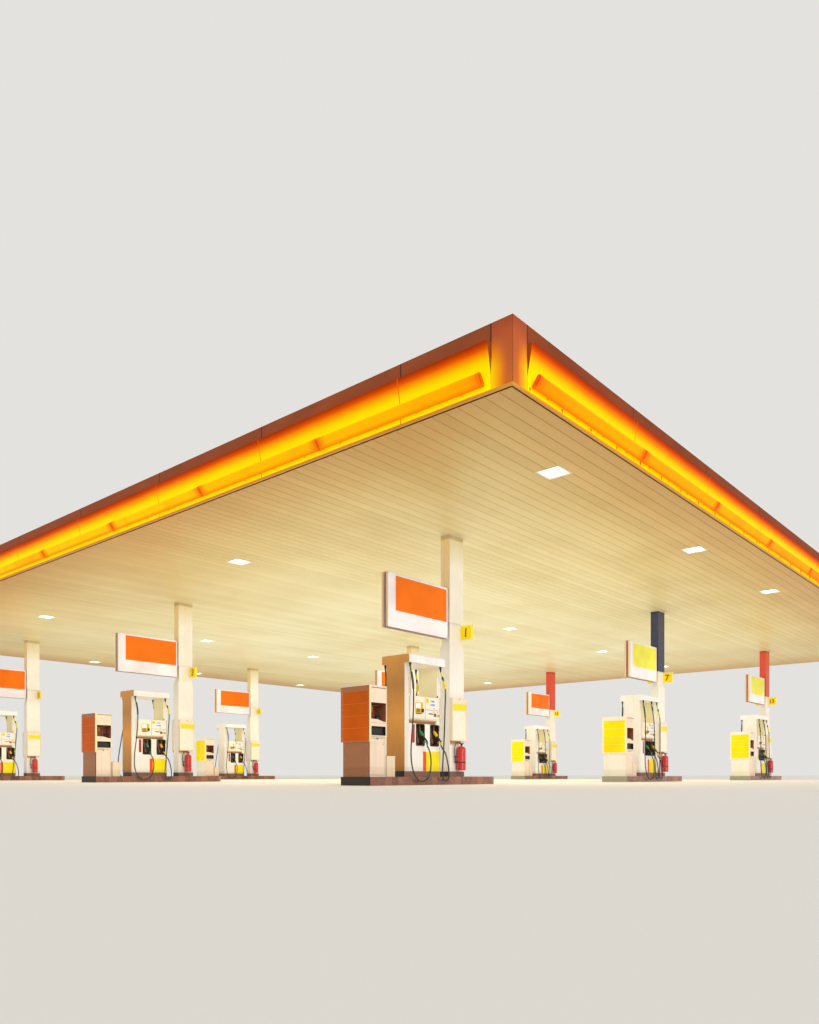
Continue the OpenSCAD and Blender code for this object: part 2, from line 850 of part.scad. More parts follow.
// Low box beside the service unit, under a lid that stands out all round
module utility_boxes() {
    size = [240, 420, 405];
    lid = 8;
    color("linen")
    at_islands(ROWS) translate([unit_x0 + unit_x + utility_gap, -330, floor_z]) {
        cube(size - [0, 0, lid]);
        translate([-lid / 2, -lid / 2, size[2] - 2 * lid]) cube([size[0] + lid, size[1] + lid, 2 * lid]);
    }
}

// Bin door of one island: a leaf with a pin below, and over it two edge strips that leave a finger notch
// between them, the first one with the upper pin
module bin_door(r) {
    leaf_h = door_h - notch_h;
    strip_w = (door_w - notch_w) / 2;
    slant = 8;
    color("whitesmoke")
    translate([row_x(r) + unit_x0 + door_x0, row_y(r) - lower_y / 2, 0]) {
        translate([0, 0, door_z]) cube([door_w, door_t, leaf_h]);
        translate([pin_in, door_t / 2, door_z - door_gap - pin_l])
            cylinder(r = pin_r, h = pin_l + door_gap + cut);
        translate([0, door_t, door_z + leaf_h + fit]) rotate([90, 0, 0]) linear_extrude(door_t) {
            polygon([[0, 0], [strip_w + slant, 0], [strip_w, notch_h - fit], [0, notch_h - fit]]);
            polygon([[door_w, 0], [door_w - strip_w - slant, 0], [door_w - strip_w, notch_h - fit],
                [door_w, notch_h - fit]]);
        }
        translate([pin_in, door_t / 2, door_top - cut]) cylinder(r = pin_r, h = pin_l + door_gap + cut);
    }
}

module dispenser_plinths() {
    color("dimgray")
    at_islands(ROWS) translate([disp_c, 0, 0]) block(plinth_x, plinth_y, floor_z, skirt_h);
}

// Recesses for the boots on one side of a dispenser
module boot_pockets(list) {
    for (b = list)
        translate([b[0] - b[1] / 2, -disp_y / 2 - cut, boot_z]) cube([b[1], boot_d + cut, boot_h]);
}

// Lower cabinet with a pocket for each boot and the joints of its door on both sides
module dispenser_cabinet(list) {
    door_low = cabinet_z + 25;
    door_high = cabinet_top - 14;
    difference() {
        translate([disp_c, 0, 0]) union() {
            block(disp_x, disp_y, cabinet_z, cabinet_top - cabinet_z);
            block(module_w, disp_y - 120, cabinet_top, ledge_h);
        }
        both_sides() {
            boot_pockets(list);
            for (x = [-module_w / 2, disp_x / 2 - 22 - groove_w])
                translate([x, -disp_y / 2 - cut, door_low])
                    cube([groove_w, groove_d + cut, door_high - door_low]);
            for (z = [door_low, door_high - groove_w])
                translate([-module_w / 2, -disp_y / 2 - cut, z])
                    cube([(module_w + disp_x) / 2 - 22, groove_d + cut, groove_w]);
        }
    }
}

module dispenser_cabinets() {
    color("linen") {
        at_islands(TWO_HOSES) dispenser_cabinet(BOOTS);
        at_islands(THREE_HOSES) dispenser_cabinet(concat(BOOTS, [MID_BOOT]));
    }
}

module dispenser_posts() {
    color("linen")
    at_islands(ROWS) translate([disp_c, 0, 0]) for (s = sides)
        translate([s * (disp_x - end_post) / 2, 0, 0])
            block(end_post, disp_y, cabinet_top, head_z - cabinet_top);
}

// Head over the posts, with a lip set back round its top
module dispenser_heads() {
    color("linen")
    at_islands(ROWS) translate([disp_c, 0, 0]) {
        block(disp_x, head_y, head_z, head_h - lip);
        block(disp_x - 2 * lip, head_y - 2 * lip, head_z, head_h);
    }
}

// Display module between the posts, with two bezels on each face
module display_modules() {
    color("ivory")
    at_islands(ROWS) {
        translate([disp_c, 0, 0]) block(module_w, disp_y, module_z, module_h);
        both_sides() for (x = BEZELS) translate([x, -disp_y / 2 - bezel_t, module_z + bezel_z])
            cube([bezel_w, bezel_t, module_h - bezel_z]);
    }
}

module nozzle_boot(b) {
    translate([b[0], -disp_y / 2, boot_z]) difference() {
        translate([-b[1] / 2 + fit, 0, fit]) cube([b[1] - 2 * fit, boot_d - fit, boot_h - 2 * fit]);
        translate([0, -cut, 0]) rotate([-90, 0, 0]) linear_extrude(boot_d - boot_wall)
            boot_mouth(b[1] - 2 * boot_wall);
    }
}

// Mouth of a boot: straight sides with a half-round bottom, drawn with z pointing down
module boot_mouth(w) {
    translate([-w / 2, -boot_h + boot_wall]) square([w, boot_h - boot_wall - w / 2 - boot_wall]);
    translate([0, -w / 2 - boot_wall]) circle(w / 2);
}

module nozzle_boots() {
    color("saddlebrown") {
        at_islands(ROWS) both_sides() for (b = BOOTS) nozzle_boot(b);
        at_islands(THREE_HOSES) both_sides() nozzle_boot(MID_BOOT);
    }
}

// A round bar from one point to another, with a ball on its first end
module round_bar(p, q, r, ball) {
    v = q - p;
    translate(p) {
        sphere(ball);
        rotate([0, acos(v[2] / norm(v)), atan2(v[1], v[0])]) cylinder(r = r, h = norm(v));
    }
}

// Turns and moves its children from the handle's own frame, Z along it, to its place over the tail
module on_handle() {
    translate([0, 0, tail_h]) rotate([-nozzle_lean, -nozzle_side, 0]) children();
}

// Point at a distance along the leaning handle
function along_handle(l) = [
    -sin(nozzle_side) * cos(nozzle_lean) * l, sin(nozzle_lean) * l,
    tail_h + cos(nozzle_side) * cos(nozzle_lean) * l
];

// Nozzle hung in its boot: a swivelling tail on the hose end, a handle that swells into the valve body, the
// spout bent down into the boot, and a trigger inside a guard on its underside
module nozzle(b) {
    head = along_handle(nozzle_l - 22);
    bend = head + spout_in;
    translate([b[0] + tail_shift, -disp_y / 2 - tail_out, tail_z]) {
        rotate_extrude() polygon([[0, 0], [19, 0], [19, 12], [23, 15], [23, 34], [19, 37], [19, tail_h],
            [0, tail_h]]);
        on_handle() {
            sphere(19.5);
            rotate_extrude() polygon([[0, 0], [handle_r + 2, 0], [handle_r + 2, 24], [handle_r, 32],
                [handle_r, valve_z - 30], [valve_r - 6, valve_z], [valve_r, valve_z + 20],
                [valve_r, nozzle_l - 55], [valve_r - 7, nozzle_l - 25], [valve_r - 14, nozzle_l],
                [0, nozzle_l]]);
            translate([-trigger_t / 2, 0, 0]) rotate([90, 0, 90])
                linear_extrude(trigger_t) polygon(TRIGGER);
        }
        round_bar(head, bend, spout_r + 3, spout_r + 6);
        round_bar(bend, bend + spout_down, spout_r, spout_r + 3 + fit);
        on_handle() translate([-guard_t / 2, 0, 0]) rotate([90, 0, 90])
            linear_extrude(guard_t) difference() {
                polygon(GUARD);
                polygon(GUARD_GAP);
            }
    }
}

module nozzles_green() {
    color("limegreen") at_islands(ROWS) both_sides() nozzle(BOOTS[0]);
}

module nozzles_yellow() {
    color("gold") at_islands(ROWS) both_sides() nozzle(BOOTS[1]);
}

module nozzles_black() {
    color("black") at_islands(THREE_HOSES) both_sides() nozzle(MID_BOOT);
}

// Swivel between the underside of the head and the first point of a hose
module swivel(route) {
    length = head_z - swivel_z;
    translate([route[0][0], route[0][1], route[0][2]]) {
        cylinder(r = swivel_r, h = length);
        translate([0, 0, length - 25]) cylinder(r = swivel_r + 8, h = 25);
    }
}

module hose_swivels() {
    color("gray") {
        at_islands(ROWS) both_sides() {
            swivel(GREEN_ROUTE);
            swivel(YELLOW_ROUTE);
        }
        at_islands(THREE_HOSES) both_sides() swivel(BLACK_ROUTE);
    }
}

function unit(v) = v / norm(v);

// Direction of a route at its point k: upright at both ends, where it meets the swivel and the nozzle
function heading(route, k) =
    k == 0 ? [0, 0, -1] : k == len(route) - 1 ? [0, 0, 1] : unit(route[k + 1] - route[k - 1]);

// Corners of the ring round point k of a route
function ring(route, k, r) =
    let (t = heading(route, k), u = unit(cross(t, [0, 1, 0])), v = cross(u, t))
    [for (a = [0:hose_face:360 - hose_face]) route[k] + r * (cos(a) * u + sin(a) * v)];

// A tube along a route, with flat ends
module hose(route) {
    n = len(route);
    s = hose_sides;
    corners = [for (k = [0:n - 1]) each ring(route, k, hose_d / 2)];
    first = [for (a = [0:s - 1]) a];
    last = [for (a = [s - 1:-1:0]) (n - 1) * s + a];
    walls = [for (k = [0:n - 2], a = [0:s - 1])
        [k * s + a, (k + 1) * s + a, (k + 1) * s + (a + 1) % s, k * s + (a + 1) % s]];
    polyhedron(corners, concat([first], walls, [last]));
}

module hoses_green() {
    color("black") at_islands(ROWS) both_sides() hose(GREEN_ROUTE);
}

module hoses_yellow() {
    color("black") at_islands(ROWS) both_sides() hose(YELLOW_ROUTE);
}

module hoses_black() {
    color("black") at_islands(THREE_HOSES) both_sides() hose(BLACK_ROUTE);
}

main_beams();
purlins();
roof_sheets();
gutters();
fascia_frame();
soffit_carriers();
soffit_boards();
soffit_trim();
lamp_housings();
lamp_lenses();
fascia_bands();
cove_panels();
light_bars();
corner_posts();
columns();
column_casings();
column_covers_white();
column_cover_indigo();
column_covers_red();
column_skirtings();
poster_cases();
extinguishers();
extinguisher_valves();
island_kerbs();
island_decks();
sign_cases();
sign_panels_orange();
sign_panels_yellow();
sign_arms();
number_flags();
service_cabinets();
service_panels_orange();
service_panels_yellow();
utility_boxes();
bin_door(ROWS[0]);  // bin_door_1
bin_door(ROWS[1]);  // bin_door_2
bin_door(ROWS[2]);  // bin_door_3
bin_door(ROWS[3]);  // bin_door_4
bin_door(ROWS[4]);  // bin_door_5
bin_door(ROWS[5]);  // bin_door_6
bin_door(ROWS[6]);  // bin_door_7
bin_door(ROWS[7]);  // bin_door_8
bin_door(ROWS[8]);  // bin_door_9
dispenser_plinths();
dispenser_cabinets();
dispenser_posts();
dispenser_heads();
display_modules();
nozzle_boots();
nozzles_green();
nozzles_yellow();
nozzles_black();
hose_swivels();
hoses_green();
hoses_yellow();
hoses_black();
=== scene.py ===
"""Looks of a filling station canopy, its pump islands and their dispensers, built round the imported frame."""

import math
import random

import bmesh
import bpy
from mathutils import Matrix, Vector
from mathutils.geometry import interpolate_bezier


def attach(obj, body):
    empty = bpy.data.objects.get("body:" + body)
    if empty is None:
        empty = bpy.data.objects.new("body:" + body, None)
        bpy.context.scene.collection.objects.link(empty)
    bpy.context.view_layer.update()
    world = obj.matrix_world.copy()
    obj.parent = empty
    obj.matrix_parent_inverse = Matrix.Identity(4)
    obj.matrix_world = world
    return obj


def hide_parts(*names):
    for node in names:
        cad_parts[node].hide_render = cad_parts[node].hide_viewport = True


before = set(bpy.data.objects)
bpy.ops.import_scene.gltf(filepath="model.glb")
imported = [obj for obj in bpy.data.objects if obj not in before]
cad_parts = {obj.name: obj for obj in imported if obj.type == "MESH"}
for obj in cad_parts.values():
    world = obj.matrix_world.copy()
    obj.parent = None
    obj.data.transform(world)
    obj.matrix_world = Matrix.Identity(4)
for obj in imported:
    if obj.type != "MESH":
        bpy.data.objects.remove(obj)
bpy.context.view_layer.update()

bl_info = {
    "name": "Filling Station Canopy",
    "version": (1, 1, 0),
    "blender": (4, 5, 0),
    "location": "3D View > Sidebar > Canopy",
    "description": "Soffit, cornice, columns, islands, signs, dispensers and service units of a canopy",
    "category": "Object",
}

# Sizes of the frame, in metres: the grid of islands, the roof, its cornice with the band along the top and the
# corner posts, and the joints of the band on the long and the short sides
GRID_X, GRID_Y = 10.65, 10.3
ROOF_X, ROOF_Y = 31.0, 30.2
SOFFIT_Z = 5.4
CORNICE_Z, BAND_Z, CORNICE_TOP = 5.436, 0.645, 6.336
POST = 0.355
LONG_JOINTS = [s * at for s in (-1, 1) for at in (2.145, 5.395, 8.645, 11.895, 15.145)] + [0.0]
SHORT_JOINTS = [s * at for s in (-1, 1) for at in (3.2767, 6.5533, 9.83, 13.1067, 14.745)] + [0.0]
ROOF_RIDGE_Z = 6.2226
# Middle of a dispenser and start of a service unit, measured from the column of their island
DISPENSER_X, UNIT_X = -1.275, -2.97
# Half the length of a column's casing and cover, and of a dispenser
CASING_X, COVER_X, DISPENSER_HALF = 0.25, 0.238, 0.57
# Faces on the -Y side: poster case and its rim, sign box, service unit
CASE_Y, CASE_RIM_Y, SIGN_Y, UNIT_Y = -0.2, -0.2125, -0.08, -0.375
# Where a kerb starts, half its width, where its straight part ends, and the radius of its round end
ISLAND_END, ISLAND_HALF, ISLAND_STRAIGHT, ISLAND_R = -2.98, 0.3925, 0.92, 0.3
# Middle and width of the nozzle boots, measured from the middle of a dispenser
BOOTS = [(-0.09, 0.262), (0.365, 0.275)]
MIDDLE_BOOT = (0.137, 0.16)
# Where the tail of a hung nozzle ends and its hose begins: beside the middle of its boot, and out from the dispenser
TAIL_SHIFT, TAIL_Y = 0.03, -0.4
# Islands as (x, y, number along X, number along Y), and those among them that differ
ISLANDS = [((i - 1) * GRID_X, (j - 1) * GRID_Y, i, j) for i in range(3) for j in range(3)]
THREE_HOSES = [(x, y, i, j) for x, y, i, j in ISLANDS if i == 2 or (i == 1 and j == 0)]
INDIGO = [(x, y, i, j) for x, y, i, j in ISLANDS if i == 1 and j == 0]
RED = [(x, y, i, j) for x, y, i, j in ISLANDS if i == 2]
WHITE = [each for each in ISLANDS if each not in INDIGO + RED]
BOOT_SETS = [("boot", BOOTS, ISLANDS), ("middle_boot", [MIDDLE_BOOT], THREE_HOSES)]
LAMPS = [(x, y) for x in (-12.45, -6.225, -0.7, 6.225, 12.45) for y in (-13.91, -5.15, 5.15, 13.91)]
# The joint of the first ceiling board, and the first joint and the spacing of cove panels and light bars, each on
# the long and on the short sides
FIRST_BOARD = 14.835
PANEL_JOINTS = ((2.145, 0.0), (3.25, 3.276667))
BAR_JOINTS = ((1.673333, 1.628889), (3.346667, 3.257778))

# Camera of the photograph: its place, its turn in degrees, its lens in millimetres and how far it is shifted up
CAMERA = (-24.41, -21.02, 0.20)
CAMERA_TURN, CAMERA_LENS, CAMERA_SHIFT = -49.03, 28.07, 0.257

# Hoses from the swivel under the head, down past the kerb and up to the tail of the nozzle, seen from the -Y
# side of a dispenser and measured from its middle, in millimetres
GREEN_ROUTE = [
    (-505, -335, 2370), (-470, -345, 2220), (-448, -365, 2000), (-466, -390, 1600), (-515, -410, 1230),
    (-572, -425, 860), (-595, -440, 540), (-545, -455, 270), (-415, -470, 105), (-255, -475, 75),
    (-95, -468, 160), (5, -450, 400), (5, -425, 660), (-60, -400, 830),
]
YELLOW_ROUTE = [
    (455, -335, 2370), (500, -350, 2230), (548, -375, 2060), (538, -400, 1860), (506, -414, 1560),
    (473, -430, 1220), (427, -446, 820), (377, -458, 430), (362, -464, 200), (393, -470, 114),
    (470, -472, 82), (547, -468, 114), (578, -460, 200), (570, -448, 400), (505, -425, 650), (395, -400, 830),
]
BLACK_ROUTE = [
    (75, -335, 2370), (110, -350, 2200), (135, -375, 1950), (133, -398, 1600), (120, -412, 1230),
    (100, -426, 860), (86, -444, 540), (84, -456, 300), (94, -464, 190), (130, -470, 112),
    (195, -472, 84), (262, -470, 116), (298, -462, 200), (298, -448, 400), (245, -424, 660), (167, -400, 830),
]
# How many hoses, counted in order, are made with their cord flag set. The most hoses
# that can be declared as cords
MOST_CORDS = 40
# Couplings on the hoses below the swivels: finish, highest and lowest point, and radius
COUPLINGS = {
    "green": [("green_dark", [(2.26, 1.92, 0.0225)])],
    "yellow": [("sleeve", [(2.335, 2.245, 0.021), (2.155, 1.985, 0.027)]), ("black", [(2.24, 2.175, 0.0195)])],
    "black": [("black", [(2.28, 2.16, 0.020)])],
}


def linear(colour):
    """Linear colour of an sRGB hex value."""
    parts = [int(colour[k:k + 2], 16) / 255 for k in (1, 3, 5)]
    return tuple(c / 12.92 if c <= 0.04045 else ((c + 0.055) / 1.055) ** 2.4 for c in parts)


def hex_of(colour):
    """Hex value of a linear colour from a setting."""
    parts = [c * 12.92 if c <= 0.0031308 else 1.055 * c ** (1 / 2.4) - 0.055 for c in colour]
    return "#" + "".join(f"{round(255 * max(0, min(1, c))):02X}" for c in parts)


# Settings


def colour_setting(name, description, value):
    """A colour that a user can change."""
    return bpy.props.FloatVectorProperty(
        name=name, description=description, subtype="COLOR", size=3, default=linear(value), min=0, max=1)


def length_setting(name, description, value, low, high):
    """A length that a user can change, and its limits."""
    return bpy.props.FloatProperty(
        name=name, description=description, default=value, min=low, max=high, unit="LENGTH")


class StageSettings(bpy.types.PropertyGroup):
    """Floor and light"""
    floor: colour_setting("Floor", "Colour of the plain floor", "#E9E6E0")
    world: bpy.props.FloatProperty(
        name="Sky light", description="Strength of the even light from all round", default=0.72, min=0, max=3)
    ceiling: bpy.props.FloatProperty(
        name="Ceiling light", description="Brightness of the soft light that stands for the canopy lamps",
        default=0.7, min=0, max=3)


class SoffitSettings(bpy.types.PropertyGroup):
    """Ceiling boards"""
    board: length_setting("Board", "Width of one ceiling board with its joint", 0.2355, 0.1, 0.4)
    joint: length_setting("Joint", "Open joint between two boards", 0.006, 0.002, 0.02)
    colour: colour_setting("Boards", "Paint of the ceiling boards", "#EBE8C8")


class CorniceSettings(bpy.types.PropertyGroup):
    """Edge of the roof"""
    rivet_pitch: length_setting("Rivet spacing", "Distance between the rivets along the edge", 0.14, 0.05, 0.5)
    bracket_pitch: length_setting("Bracket spacing", "Distance between the brackets of the bars", 0.84, 0.3, 2.0)
    band: colour_setting("Band", "Paint of the plain band along the top", "#9A4A28")
    glow: bpy.props.FloatProperty(
        name="Glow", description="Strength of the light in the cove", default=0.3, min=0, max=2)


class HoseSettings(bpy.types.PropertyGroup):
    """Hoses of the dispensers"""
    diameter: length_setting("Diameter", "Outer diameter of a hose", 0.028, 0.02, 0.04)
    rubber: colour_setting("Rubber", "Colour of the hose rubber", "#2A2622")


class ColumnSettings(bpy.types.PropertyGroup):
    """Casings and covers"""
    screw_pitch: length_setting("Screw spacing", "Distance between the screws of the casings", 0.4, 0.1, 1.0)
    white: colour_setting("White columns", "Paint of the casings", "#F5F1E9")
    indigo: colour_setting("Dark column", "Paint of the one dark cover", "#343B5A")
    red: colour_setting("Red columns", "Paint of the covers of the last row", "#D9482B")


class IslandSettings(bpy.types.PropertyGroup):
    """Tiles of the kerbs"""
    tile: length_setting("Tile", "Length of one kerb tile with its joint", 0.1984, 0.1, 0.4)
    joint: length_setting("Joint", "Joint between two kerb tiles", 0.01, 0.002, 0.02)
    colour: colour_setting("Tiles", "Glaze of the kerb tiles", "#8A5440")


class SignSettings(bpy.types.PropertyGroup):
    """Sign boxes and flags"""
    orange: colour_setting("Orange sign", "Colour of the orange sign panels", "#EC7216")
    yellow: colour_setting("Yellow sign", "Colour of the yellow sign panels", "#E5E254")
    numeral: length_setting("Numeral", "Height of the plain numbers on the flags", 0.19, 0.1, 0.3)


class DispenserSettings(bpy.types.PropertyGroup):
    """Paint and nozzles"""
    body: colour_setting("Body", "Paint of the dispensers", "#F6F1E8")
    # The first row's end colour is painted warm light on the faces that look along -X.
    end: colour_setting("First row end", "Warm paint of the end faces of the first row", "#D2923E")
    green: colour_setting("Green nozzle", "Colour of the green nozzle covers", "#1F8A4C")
    yellow: colour_setting("Yellow nozzle", "Colour of the yellow nozzle covers", "#F4C50A")


GROUPS = {
    "canopy_stage": StageSettings, "canopy_soffit": SoffitSettings, "canopy_cornice": CorniceSettings,
    "canopy_hoses": HoseSettings, "canopy_columns": ColumnSettings, "canopy_islands": IslandSettings,
    "canopy_signs": SignSettings, "canopy_dispensers": DispenserSettings,
}


# Nodes and meshes


def add(tree, kind, settings=None, inputs=None):
    """Adds a node, with its settings, and values or sockets for its inputs."""
    made = tree.nodes.new(kind)
    for key, value in (settings or {}).items():
        setattr(made, key, value)
    for key, value in (inputs or {}).items():
        if isinstance(value, bpy.types.NodeSocket):
            tree.links.new(value, made.inputs[key])
        else:
            made.inputs[key].default_value = (*linear(value), 1) if str(value)[:1] == "#" else value
    return made


def ramp(tree, factor, stops):
    """A colour ramp with its stops as (place, colour)."""
    made = add(tree, "ShaderNodeValToRGB", inputs={"Fac": factor})
    points = made.color_ramp.elements
    while len(points) < len(stops):
        points.new(0.5)
    for point, (place, colour) in zip(points, stops):
        point.position = place
        point.color = (*linear(colour), 1)
    return made.outputs["Color"]


def begin(name, **values):
    """A material with one Principled shader, whose plain values are set on its own sockets."""
    material = bpy.data.materials.new(name)
    material.use_nodes = True
    tree = material.node_tree
    tree.nodes.clear()
    shader = add(tree, "ShaderNodeBsdfPrincipled")
    add(tree, "ShaderNodeOutputMaterial", inputs={"Surface": shader.outputs[0]})
    for key, value in values.items():
        shader.inputs[key.replace("_", " ")].default_value = value
    place = add(tree, "ShaderNodeTexCoord").outputs["Object"]
    return material, tree, shader, place


def noise(tree, place, scale, detail=3.0, rough=0.55, stretch=(1, 1, 1)):
    """Noise over Object coordinates, scale per metre, stretched along the axes."""
    moved = add(tree, "ShaderNodeMapping", inputs={"Vector": place, "Scale": stretch}).outputs[0]
    return add(tree, "ShaderNodeTexNoise", inputs={
        "Vector": moved, "Scale": scale, "Detail": detail, "Roughness": rough}).outputs[0]


def maths(tree, operation, a, b=0.0, c=0.0, clamp=False):
    """One sum on numbers or sockets."""
    made = add(tree, "ShaderNodeMath", {"operation": operation, "use_clamp": clamp}, {0: a, 1: b, 2: c})
    return made.outputs[0]


def mix(tree, factor, a, b, kind="MIX"):
    """Two colours, as sockets or hex values, mixed by a factor."""
    return add(tree, "ShaderNodeMix", {"data_type": "RGBA", "blend_type": kind}, {0: factor, 6: a, 7: b}).outputs[2]


def shade(colour, factor):
    """A hex colour made darker or lighter by a factor."""
    return "#" + "".join(f"{max(0, min(255, round(int(colour[k:k + 2], 16) * factor))):02X}" for k in (1, 3, 5))


def split(tree, place):
    """X, Y and Z of a vector."""
    return add(tree, "ShaderNodeSeparateXYZ", inputs={0: place}).outputs


def slope(tree, value, low, high):
    """0 below low and 1 above high, in a straight line between."""
    return add(tree, "ShaderNodeMapRange", {"clamp": True}, {
        "Value": value, "From Min": low, "From Max": high, "To Min": 0.0, "To Max": 1.0}).outputs[0]


def roughen(tree, shader, pattern, spread, least):
    """Roughness that rises with a pattern, by a spread from its least value."""
    tree.links.new(maths(tree, "ADD", maths(tree, "MULTIPLY", pattern, spread), least), shader.inputs["Roughness"])


def light_up(tree, shader, colour, glow):
    """The same colour for the surface and for the light that it gives off."""
    tree.links.new(colour, shader.inputs["Base Color"])
    tree.links.new(colour, shader.inputs["Emission Color"])
    shader.inputs["Emission Strength"].default_value = glow


def relief(tree, shader, height, depth):
    """Bump from a height pattern, depth in metres."""
    bump = add(tree, "ShaderNodeBump", inputs={"Height": height, "Strength": 0.6, "Distance": depth})
    tree.links.new(bump.outputs[0], shader.inputs["Normal"])


def local(tree, place):
    """Coordinates measured from the column of the nearest island, its row along X, and how a face looks."""
    x, y, z = split(tree, place)
    row_x = maths(tree, "ROUND", maths(tree, "DIVIDE", x, GRID_X))
    row_y = maths(tree, "ROUND", maths(tree, "DIVIDE", y, GRID_Y))
    off = maths(tree, "ABSOLUTE", maths(tree, "SUBTRACT", y, maths(tree, "MULTIPLY", row_y, GRID_Y)))
    facing = split(tree, add(tree, "ShaderNodeNewGeometry").outputs["Normal"])[0]
    return {"x": maths(tree, "SUBTRACT", x, maths(tree, "MULTIPLY", row_x, GRID_X)), "off": off, "z": z,
            "row": row_x, "face": facing}


def within(tree, spot, ranges):
    """1 where each named coordinate lies between its two limits, else 0."""
    mask = None
    for key, (low, high) in ranges.items():
        part = maths(tree, "COMPARE", spot[key], (low + high) / 2, (high - low) / 2)
        mask = part if mask is None else maths(tree, "MULTIPLY", mask, part)
    return mask


def zoned(tree, place, colour, zones):
    """A base colour with zones in other colours, each a hex value or a list of (height, hex value)."""
    spot = local(tree, place) if zones else None
    for other, ranges in zones:
        if not isinstance(other, str):
            low, high = other[0][0], other[-1][0]
            other = ramp(tree, slope(tree, spot["z"], low, high), [((z - low) / (high - low), c) for z, c in other])
        colour = mix(tree, within(tree, spot, ranges), colour, other)
    return colour


def corner_distance(tree, place):
    """Distance along the cornice from the nearest corner of the roof."""
    return from_sides(tree, place, "MAXIMUM")


def edge_distance(tree, place):
    """Distance from the nearest edge of the roof."""
    return from_sides(tree, place, "MINIMUM")


def from_sides(tree, place, pick):
    """The larger or the smaller of the distances from the sides along X and along Y."""
    x, y = split(tree, place)[:2]
    return maths(tree, pick, maths(tree, "SUBTRACT", ROOF_X / 2, maths(tree, "ABSOLUTE", x)),
                 maths(tree, "SUBTRACT", ROOF_Y / 2, maths(tree, "ABSOLUTE", y)))


def slab(bm, low, high, soft=0.003, steps=1):
    """A box between two opposite corners, in either order, with its edges eased."""
    low, high = zip(*(sorted(pair) for pair in zip(low, high)))
    made = bmesh.ops.create_cube(bm, size=1.0)
    size = [h - l for l, h in zip(low, high)]
    middle = [(l + h) / 2 for l, h in zip(low, high)]
    bmesh.ops.scale(bm, vec=size, verts=made["verts"])
    bmesh.ops.translate(bm, vec=middle, verts=made["verts"])
    if soft:
        edges = list(dict.fromkeys(e for v in made["verts"] for e in v.link_edges))
        bmesh.ops.bevel(bm, geom=edges, offset=min(soft, min(size) * 0.45), segments=steps, profile=0.6,
                        affect="EDGES")


def skin(bm, rings, endless=False):
    """Faces from each ring of points to the next. The ends are closed, or an endless row meets its first ring."""
    n = len(rings[0])
    faces = [] if endless else [bm.faces.new(rings[0][::-1]), bm.faces.new(rings[-1])]
    for one, two in zip(rings, rings[1:] + (rings[:1] if endless else [])):
        faces += [bm.faces.new((one[k], one[(k + 1) % n], two[(k + 1) % n], two[k])) for k in range(n)]
    bmesh.ops.recalc_face_normals(bm, faces=faces)
    return faces


def round_angles(sides):
    """Even angles of one full turn, in radians."""
    return [2 * math.pi * k / sides for k in range(sides)]


def prism(bm, outline, start, end, axis=1):
    """A flat outline swept along an axis. The outline holds the two other coordinates in order."""
    def point(pair, along):
        spot = list(pair)
        spot.insert(axis, along)
        return bm.verts.new(spot)

    skin(bm, [[point(p, along) for p in outline] for along in (start, end)])


def rounded(x0, y0, x1, y1, r, steps=3):
    """Outline of a rectangle with round corners."""
    r = min(r, (x1 - x0) * 0.49, (y1 - y0) * 0.49)
    points = []
    for cx, cy, start in ((x1 - r, y1 - r, 0), (x0 + r, y1 - r, 90), (x0 + r, y0 + r, 180), (x1 - r, y0 + r, 270)):
        for k in range(steps + 1):
            a = math.radians(start + 90 * k / steps)
            points.append((cx + r * math.cos(a), cy + r * math.sin(a)))
    return points


def plate(bm, low, high, y, depth, r=0.004):
    """A flat piece with round corners that stands out from y towards -Y, with low and high as (x, z)."""
    prism(bm, rounded(*low, *high, r), y - depth, y)


def hoop(bm, low, high, width, y, depth, r=0.012):
    """A flat frame with round corners inside a rectangle, standing out from y towards -Y."""
    lines = [rounded(*low, *high, r), rounded(low[0] + width, low[1] + width, high[0] - width, high[1] - width,
                                              max(r - width, 0.002))]
    loops = [[bm.verts.new((p[0], at, p[1])) for p in line]
             for line, at in ((lines[0], y), (lines[0], y - depth), (lines[1], y - depth), (lines[1], y))]
    skin(bm, loops, endless=True)


def rod(bm, start, end, r, sides=12, r2=None):
    """A round bar, or a cone, between two points."""
    a, b = Vector(start), Vector(end)
    turn = (b - a).to_track_quat("Z", "Y").to_matrix().to_4x4()
    made = bmesh.ops.create_cone(
        bm, cap_ends=True, segments=sides, radius1=r, radius2=r if r2 is None else r2, depth=(b - a).length)
    bmesh.ops.transform(bm, matrix=Matrix.Translation((a + b) / 2) @ turn, verts=made["verts"])


def screw(bm, spot, out, r=0.006):
    """A pan-head screw on a face that looks along out."""
    at, along = Vector(spot), Vector(out)
    rod(bm, at - along * 0.001, at + along * r * 0.5, r, 8, r * 0.6)


def screws_at(bm, xs, ys, zs, out, r):
    """Screws at every mix of the places along the three axes, on faces that look along out."""
    for x in xs:
        for y in ys:
            for z in zs:
                screw(bm, (x, y, z), out, r)


def steps_between(low, high, pitch):
    """Even steps from low to high, with both, about a pitch apart."""
    count = max(2, round((high - low) / pitch) + 1)
    return [low + k * (high - low) / (count - 1) for k in range(count)]


def tube(bm, points, r, sides=10):
    """A round tube through a list of points, closed at its ends, with one radius or one for each point."""
    line = [Vector(p) for p in points]
    side = Vector((0, 1, 0))
    rings = []
    for k, p in enumerate(line):
        along = (line[min(k + 1, len(line) - 1)] - line[max(k - 1, 0)]).normalized()
        across = side - along * side.dot(along)
        across = across.normalized() if across.length > 0.1 else along.orthogonal().normalized()
        side = across
        up = along.cross(across)
        radius = r[k] if isinstance(r, (list, tuple)) else r
        rings.append([bm.verts.new(p + radius * (math.cos(a) * across + math.sin(a) * up))
                      for a in round_angles(sides)])
    skin(bm, rings)


